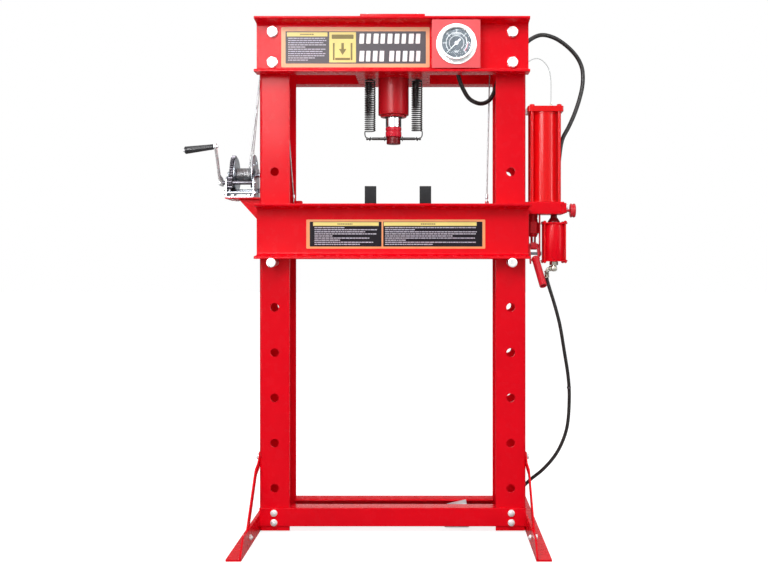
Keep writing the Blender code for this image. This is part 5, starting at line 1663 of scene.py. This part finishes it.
# ---------------------------------------------------------------- release valve knob
piece("release_knob", turned(
    [(0, 604), (5, 604), (5, 613.6), (7.6, 614.0), (8.6, 615.0), (8.6, 620.4), (7.6, 621.4),
     (5, 621.8), (5, 629.4), (9.0, 630.0), (14, 630.8), (21.0, 631.0), (23.8, 632.0),
     (25.0, 634.0), (25.0, 637.2), (24.2, 638.4), (22.6, 639.0), (22.6, 641.6), (24.2, 642.2),
     (25.0, 643.4), (25.0, 647.0), (24.2, 649.6), (22.0, 650.8), (14.0, 651.0), (13.2, 650.2),
     (0, 650.2)], "X", (0, 0, 1129), 96, shape=lambda angle, radius, height:
    radius - 0.45 * max(0.0, math.cos(24 * angle)) if radius > 24.4 else radius),
    KNOB_RED, "release_valve", "release_valve_knob")

# ---------------------------------------------------------------- plunger and handle
PIN_ARM, PIN_ANGLE = 35.0, math.radians(50.0)   # from the fulcrum to the plunger pin
pin_y, pin_z = polar(PIN_ARM, PIN_ANGLE, (FULCRUM_Y, FULCRUM_Z))
piece("pump_ram", turned([(0, 1095), (9.2, 1095), (10, 1094), (10, 1016.5), (9.0, 1015.6),
                          (9.0, pin_z + 9), (0, pin_z + 9)], "Z", barrel_at),
      CHROME_Z, "pump_plunger", "pump_plunger")
fork = piece("pump_ram_fork", prism(rounded_rect((-20, 18), (pin_z - 13, pin_z + 13), 7), "X",
                                    489.5, 510.5),
             KNOB_RED, "pump_plunger", bevel=0.8, slot="chrome")
cut(fork, prism(rounded_rect((-15.5, 13.0), (pin_z - 6.6, pin_z + 6.6), 6.4), "X", 480, 520))

handle_way = Vector((25.0, -72.0, -112.0)).normalized()
fulcrum = Vector((FULCRUM_X, FULCRUM_Y, FULCRUM_Z))
tail = fulcrum + handle_way * 34
start, stop = Vector((pin_y, pin_z)), Vector((tail.y, tail.z))
length = (stop - start).length
stations = []
for t in [-9.4 / length * (1 - k / 8) for k in range(8)] + [0.0, 0.5, 1.0] \
        + [1 + 9.4 / length * k / 8 for k in range(1, 9)]:
    reach = max(0.0, -t, t - 1) * length
    point = start + (stop - start) * t
    stations.append((point.x, point.y, 9.0 * math.sqrt(max(0.03, 1 - (reach / 9.6) ** 2))))
cheeks = flat_bar([(485.5, *station) for station in stations], 5)
flat_bar([(514.5, *station) for station in stations], 5, cheeks)
piece("handle_cheeks", cheeks, KNOB_RED, "pump_handle", smooth=40, bevel=0.7, angle=50)
pins = turned([(0, 474.6), (6.6, 474.6), (7.6, 475.4), (7.6, 477.4), (5, 477.6), (5, 522.6),
               (7.2, 522.8), (7.2, 525.0), (6.4, 525.8), (0, 525.8)], "X",
              (0, FULCRUM_Y, FULCRUM_Z), 40)
turned([(0, 479.4), (5.4, 479.4), (6.2, 480.2), (6.2, 482.6), (4, 482.8), (4, 517.2),
        (6.2, 517.4), (6.2, 519.8), (5.4, 520.6), (0, 520.6)], "X", (0, pin_y, pin_z), 40, pins)
hardware("handle_pins", pins, DARK_ZINC, "pump_handle")
piece("handle_tube", turned([(0, 17), (11.6, 17), (13.2, 18.6), (13.2, 137), (12.6, 138),
                             (10.9, 138), (10.4, 137), (10.4, 40), (0, 40)], handle_way,
                            fulcrum, 80), KNOB_RED, "pump_handle", "handle_socket")
seam = turned([(13.0, 21), (15.2, 22.4), (15.8, 24.5), (15.2, 26.6), (13.0, 28)], handle_way,
              fulcrum, 48, shape=lambda angle, radius, height:
              radius + (0.35 * math.sin(angle * 17) if radius > 14 else 0))
piece("handle_weld", seam, KNOB_RED, "pump_handle", smooth=60)


# ---------------------------------------------------------------- hoses
def hose_end(tip, way, radius, length, nut, nut_length, stem):
    """Crimped ferrule over the hose, then a hex nut: way points off the hose."""
    way = Vector(way).normalized()
    core, crest, root = radius * 0.62, radius + 2.4, radius + 1.2
    ribs = [(core, 0), (radius + 1.5, 0), (crest, 0.8)]
    count = 5
    for k in range(count):
        at = 2 + (length - 4) * k / count
        ribs += [(crest, at + 1.0), (root, at + 1.8), (root, at + 2.6)]
    ribs += [(crest, length - 1.2), (radius + 1.4, length), (stem, length),
             (stem, length + 2.0), (core, length + 2.0)]
    builder = turned(ribs, way, tip, 48)
    return hexagon(nut, length + 2.1, length + 2.1 + nut_length, way, tip, segments=48,
                   builder=builder)


oil_line = [
    (597, 96, 1196), (598.5, 96, 1230), (604, 96, 1310), (617, 96, 1395), (640, 100, 1440),
    (661, 104, 1486), (680, 108, 1540), (692, 110, 1590), (694.5, 110, 1630), (690, 108, 1662),
    (672, 103, 1698), (632, 90, 1737), (582, 72, 1764), (534, 52, 1769), (496, 44, 1752),
    (464, 40, 1722), (430, 40, 1690), (396, 38, 1655), (376, 34, 1605), (362, 28, 1558),
    (342, 18, 1525), (311, 6, 1513), (273, -8, 1527), (248, -22, 1562), (233, -31, 1600),
    (224.5, -35, 1640)]
piece("oil_hose", swept(curve_through(oil_line, 5.0), 7.5, 24), RUBBER,
      replaces="hydraulic_hose", smooth=60)
ends = hose_end((598.2, 96, 1216), Vector((596, 95.6, 1160)) - Vector((597.6, 96, 1216)),
                radius=7.5, length=26, nut=19, nut_length=10, stem=6.2)
swept(curve_through([(597.0, 95.8, 1180), (596.0, 95, 1166), (593.5, 91.5, 1149),
                     (591, 82, 1138.5), (590, 70, 1134), (590, 62, 1134)], 2.0), 6.0, 24, ends)
hexagon(22, 55.3, 67, "Y", (590, 0, 1134), segments=48, builder=ends)
hardware("oil_hose_pump_fitting", ends, NICKEL)
ends = hose_end((226.4, -34.4, 1628), Vector((222.5, -35.6, 1662)) - Vector((226.4, -34.4, 1628)),
                radius=7.5, length=24, nut=19, nut_length=9, stem=6.2)
swept(curve_through([(222.6, -35.6, 1660), (221.8, -37.5, 1674), (221.2, -44, 1686),
                     (221, -56, 1691.6), (221, -66, 1692)], 2.0), 6.0, 24, ends)
hexagon(19, -78, -63, "Y", GAUGE_CENTRE, segments=48, builder=ends)
hardware("oil_hose_gauge_fitting", ends, NICKEL)

air_path = [
    (549, 0, 909), (549.0, 1.2, 893), (550.6, 2.4, 880), (559.4, 5, 850), (577.3, 12, 795),
    (598, 24, 721), (617, 45, 624), (634, 62, 525), (640, 78, 450), (634, 92, 342),
    (616, 101, 280), (588, 106, 228), (544, 112, 177), (500, 118, 140), (466, 123, 104),
    (432, 128, 62), (396, 126, 27), (362, 113, 10), (336, 82, 7.0), (318, 50, 13),
    (302, 22, 28), (290, 6, 37), (279, 0, 38)]
piece("air_line", swept(curve_through(air_path, 5.0), 6.25, 24), RUBBER, replaces="air_hose",
      smooth=60)
ends = hose_end((549.2, 1.4, 889), Vector((549, 0, 915)) - Vector((549.2, 1.4, 889)),
                radius=6.25, length=16, nut=15, nut_length=6, stem=5.0)
swept(curve_through([(549.0, 0, 910), (549.6, 0, 916), (552.6, 0, 920.4), (558, 0, 921.6),
                     (565, 0, 921.6)], 1.5), 4.6, 20, ends)
hexagon(17, 557.0, 565.0, "X", (0, 0, 921.6), segments=40, builder=ends)
hardware("air_line_canister_fitting", ends, NICKEL)
ends = hose_end((288, 2.0, 37.9), (-1, -0.1, 0.0), radius=6.25, length=14, nut=15,
                nut_length=5, stem=5.0)
turned([(0, 269.8), (5.0, 269.8), (5.0, 261.0), (0, 261.0)], "X", (0, 0, 38), 32, ends)
hardware("air_line_valve_fitting", ends, NICKEL)
sleeve = turned([(6.5, -2.6), (7.4, -2.6), (7.6, -2.2), (7.6, 2.2), (7.4, 2.6), (6.5, 2.6)],
                Vector((634, 62, 525)) - Vector((640, 78, 450)), (637.6, 70.5, 487), 40)
hardware("air_line_sleeve", sleeve, DARK_ZINC)

# ---------------------------------------------------------------- foot valve
HINGE = (198.0, 60.0)       # pedal hinge, (x, z)
base = piece("foot_valve_base", prism(rounded_rect((182, 270), (-25, 37), 8, 8), "Z", 0, 5),
             ALLOY, bevel=0.9)
cut(base, drills("Z", -4, 12, 3.3, 24, ((191, 29), (261, 29))))
outline = fillet([(188, 5), (262, 5), (262, 52), (236, 52), (226, 40), (207, 40), (206, 65.5),
                  (190, 65.5)], [0, 0, 6, 5, 6, 5, 5, 7], 6)
valve = piece("foot_valve_housing", prism(outline, "Y", -22, 22), ALLOY,
              replaces="foot_valve_body", bevel=2.2, segments=4)
cut(valve, drills("Y", -30, 30, 4.8, 28, [HINGE]))
weld(valve, turned([(0, 266), (8.5, 266), (9.5, 265), (9.5, 258), (0, 258)], "X", (0, 0, 38),
                   40))
pockets = bmesh.new()
for side in (-1, 1):
    prism(rounded_rect((196, 254), (12, 33), 4, 5), "Y", *side_span(side, 20.4, 26), pockets)
cut(valve, pockets)
stem = turned([(0, 60.5), (4.6, 60.5), (5.2, 59.9), (5.2, 51.0), (0, 51.0)], "Z", (247, 0, 0),
              32)
coil = [(*polar(7.2, 2 * math.pi * k / 20, (247, 0)), 53.6 + 2.6 * k / 20)
        for k in range(5 * 20 + 1)]
swept(coil, 0.8, 8, stem, dome=True)
piece("foot_valve_plunger", stem, STEEL_Z, smooth=50)

plate = fillet([(190.5, 67.4), (258, 82), (261.5, 84.5), (260, 88.2), (255, 87.0), (191, 72.8)],
               [2.0, 2, 1.5, 1.5, 2, 2.0], 4)
piece("pedal_plate", prism(plate, "Y", -31, 31), ALLOY, "foot_pedal", "foot_pedal", bevel=0.8)
cheek = fillet([(190, 54), (206, 53), (257, 70), (257, 84), (192.5, 71)], [5, 5, 3, 0, 0], 5)
cheeks = bmesh.new()
for y in (-30.5, 26.5):
    prism(cheek, "Y", y, y + 4, cheeks)
piece("pedal_cheeks", cheeks, ALLOY, "foot_pedal", bevel=0.7)
# half of the hinge pin, from its neck to its end
pin_half = [(4.2, 31.2), (6.8, 31.6), (6.8, 33.8), (6.2, 34.5), (0, 34.5)]
piece("pedal_hinge_pin", turned(
    [(0, -34.5), (6.2, -34.5), (6.8, -33.8), (6.8, -31.6), (4.2, -31.2)] + pin_half, "Y",
    (HINGE[0], 0, HINGE[1]), 36), STEEL_Y, "foot_pedal")
ribs = bmesh.new()
slope = (87 - 72.8) / (258 - 192)
for k in range(9):
    x = 201 + 6.2 * k
    z = 72.8 + (x - 192) * slope
    prism([(x + dx, z + dz + dx * slope) for dx, dz in
           ((-1.4, -0.6), (1.4, -0.6), (0.9, 1.2), (-0.9, 1.2))], "Y", -26, 26, ribs)
piece("pedal_tread", ribs, ALLOY, "foot_pedal", bevel=0.25, segments=1)

# ---------------------------------------------------------------- floor
scene = bpy.context.scene
slab = box((-30000, 30000), (-30000, 30000), (-60, -0.6))
graph = Graph("studio_floor")
cloud = graph.clouds(scale=0.9)
rays = graph.node("LightPath").outputs
direct = rays["Is Camera Ray"]
pale = graph.mix(cloud, (0.52, 0.52, 0.52), (0.55, 0.55, 0.548))
graph.set("Base Color", graph.mix(direct, (0.34, 0.34, 0.34), pale))
graph.set("Roughness", graph.clouds(scale=14.0, target=(0.55, 0.7)))
graph.set("Specular IOR Level", 0.15)
graph.set("Emission Color", (1.0, 1.0, 1.0))
# glow seen by the camera, and a weaker one seen in reflections
graph.set("Emission Strength", graph.maths(
    "ADD", graph.maths("MULTIPLY", direct, 0.80),
    graph.maths("MULTIPLY", rays["Is Glossy Ray"], 0.16)))
mesh = bpy.data.meshes.new("studio_floor")
slab.to_mesh(mesh)
slab.free()
floor = link("studio_floor", mesh)
mesh.materials.append(graph.material)

# ---------------------------------------------------------------- world
# the frame may come with a world of its own
world = bpy.data.worlds.new("studio") if scene.world is None else scene.world
scene.world = world
world.use_nodes = True
world.node_tree.nodes.clear()
sky = NodeTree(world.node_tree)
way = sky.node("SeparateXYZ", {"Vector": sky.node("TexCoord").outputs["Generated"]}).outputs
SMOOTH = dict(interpolation_type="SMOOTHSTEP")
# light on surfaces: strongest from above and from the front
rise = sky.span(way["Z"], (-0.1, 1.0), (0.28, 0.66))
front = sky.span(way["Y"], (-1.0, 1.0), (1.20, 0.80))
sides = sky.span(sky.maths("ABSOLUTE", way["X"]), (0.2, 1.0), (1.0, 0.55), **SMOOTH)
soft_light = sky.maths("MULTIPLY", sky.maths("MULTIPLY", rise, front), sides)
# what polished parts mirror: a white panel in front, darker behind
flag = sky.span(way["Y"], (-0.35, 0.05), (1.12, 0.08), **SMOOTH)
crown = sky.span(way["Z"], (0.35, 0.80), (0.0, 0.9), **SMOOTH)
screen = sky.span(way["Y"], (0.93, 0.985), (0.0, 0.9), **SMOOTH)
mirrored = sky.maths("MAXIMUM", sky.maths("MAXIMUM", flag, screen), crown)
rays = sky.node("LightPath").outputs
glossy = rays["Is Glossy Ray"]
strength = sky.maths(
    "ADD", sky.maths("MULTIPLY", soft_light, sky.maths("SUBTRACT", 1.0, glossy)),
    sky.maths("MULTIPLY", mirrored, glossy))
lit = sky.node("Background", {"Color": (1.0, 1.0, 1.0), "Strength": strength})
seen = sky.node("Background", {"Color": (1.0, 1.0, 1.0)})
mix = sky.node("MixShader", {"Fac": rays["Is Camera Ray"], 1: lit.outputs["Background"],
                             2: seen.outputs["Background"]})
sky.node("OutputWorld", {"Surface": mix.outputs["Shader"]})

# ---------------------------------------------------------------- lights
# softboxes, in metres: name, position, target, width, height, radiance,
# lights diffuse surfaces, shows in glossy ones
SOFTBOXES = (
    ("key_front_left", (-1.0, -3.3, 2.30), (0.0, 0.0, 1.3), 1.25, 1.15, 6.0, True, False),
    ("glare_front_left", (-1.05, -3.35, 2.32), (0.0, 0.0, 1.4), 1.3, 1.2, 20.0, False, True),
    ("strip_left", (-2.25, -3.2, 1.30), (0.3, 0.0, 1.2), 0.45, 2.2, 14.0, False, True),
    ("strip_right", (3.5, -2.0, 1.70), (0.2, 0.0, 1.3), 0.55, 2.4, 12.0, False, True),
    ("top_front", (0.1, -4.2, 4.0), (0.0, 0.0, 1.1), 3.4, 1.8, 5.4, True, True),
    ("low_front", (0.2, -4.6, 1.1), (0.0, 0.0, 0.4), 3.0, 1.0, 1.3, True, False),
    ("fill_front_right", (3.2, -3.4, 2.4), (0.0, 0.0, 1.0), 1.2, 1.8, 1.6, True, True),
    ("overhead", (0.2, -0.2, 3.6), (0.1, 0.0, 0.0), 3.0, 2.2, 1.0, True, True),
    ("rim_back_left", (-2.8, 2.6, 2.2), (0.0, 0.0, 1.0), 1.2, 2.0, 2.2, True, False),
    ("rim_back_right", (2.8, 2.6, 2.0), (0.0, 0.0, 1.0), 1.2, 2.0, 2.2, True, False))
for name, position, target, wide, high, radiance, diffuse, glossy in SOFTBOXES:
    data = bpy.data.lights.new(name, "AREA")
    data.shape = "RECTANGLE"
    data.size = wide
    data.size_y = high
    data.energy = radiance * wide * high * math.pi
    lamp = link(name, data)
    lamp.location = position
    lamp.visible_diffuse = diffuse
    lamp.visible_glossy = glossy
    aim = Vector(target) - Vector(position)
    lamp.rotation_euler = aim.to_track_quat("-Z", "Y").to_euler()

# ---------------------------------------------------------------- camera
camera_data = bpy.data.cameras.new("view")
camera = link("view", camera_data)
camera.location = (0.1256, -3.7491, 0.93975)
camera.rotation_euler = (math.pi / 2, 0.0, 0.0)
camera_data.sensor_width = 36.0
camera_data.lens = 49.0584375
camera_data.shift_x = -0.0580729167
camera_data.shift_y = -0.0320442708
camera_data.clip_start = 0.05
camera_data.clip_end = 200.0
scene.camera = camera
scene.view_settings.view_transform = "Standard"
scene.view_settings.look = "None"

# ---------------------------------------------------------------- close
bpy.context.view_layer.update()
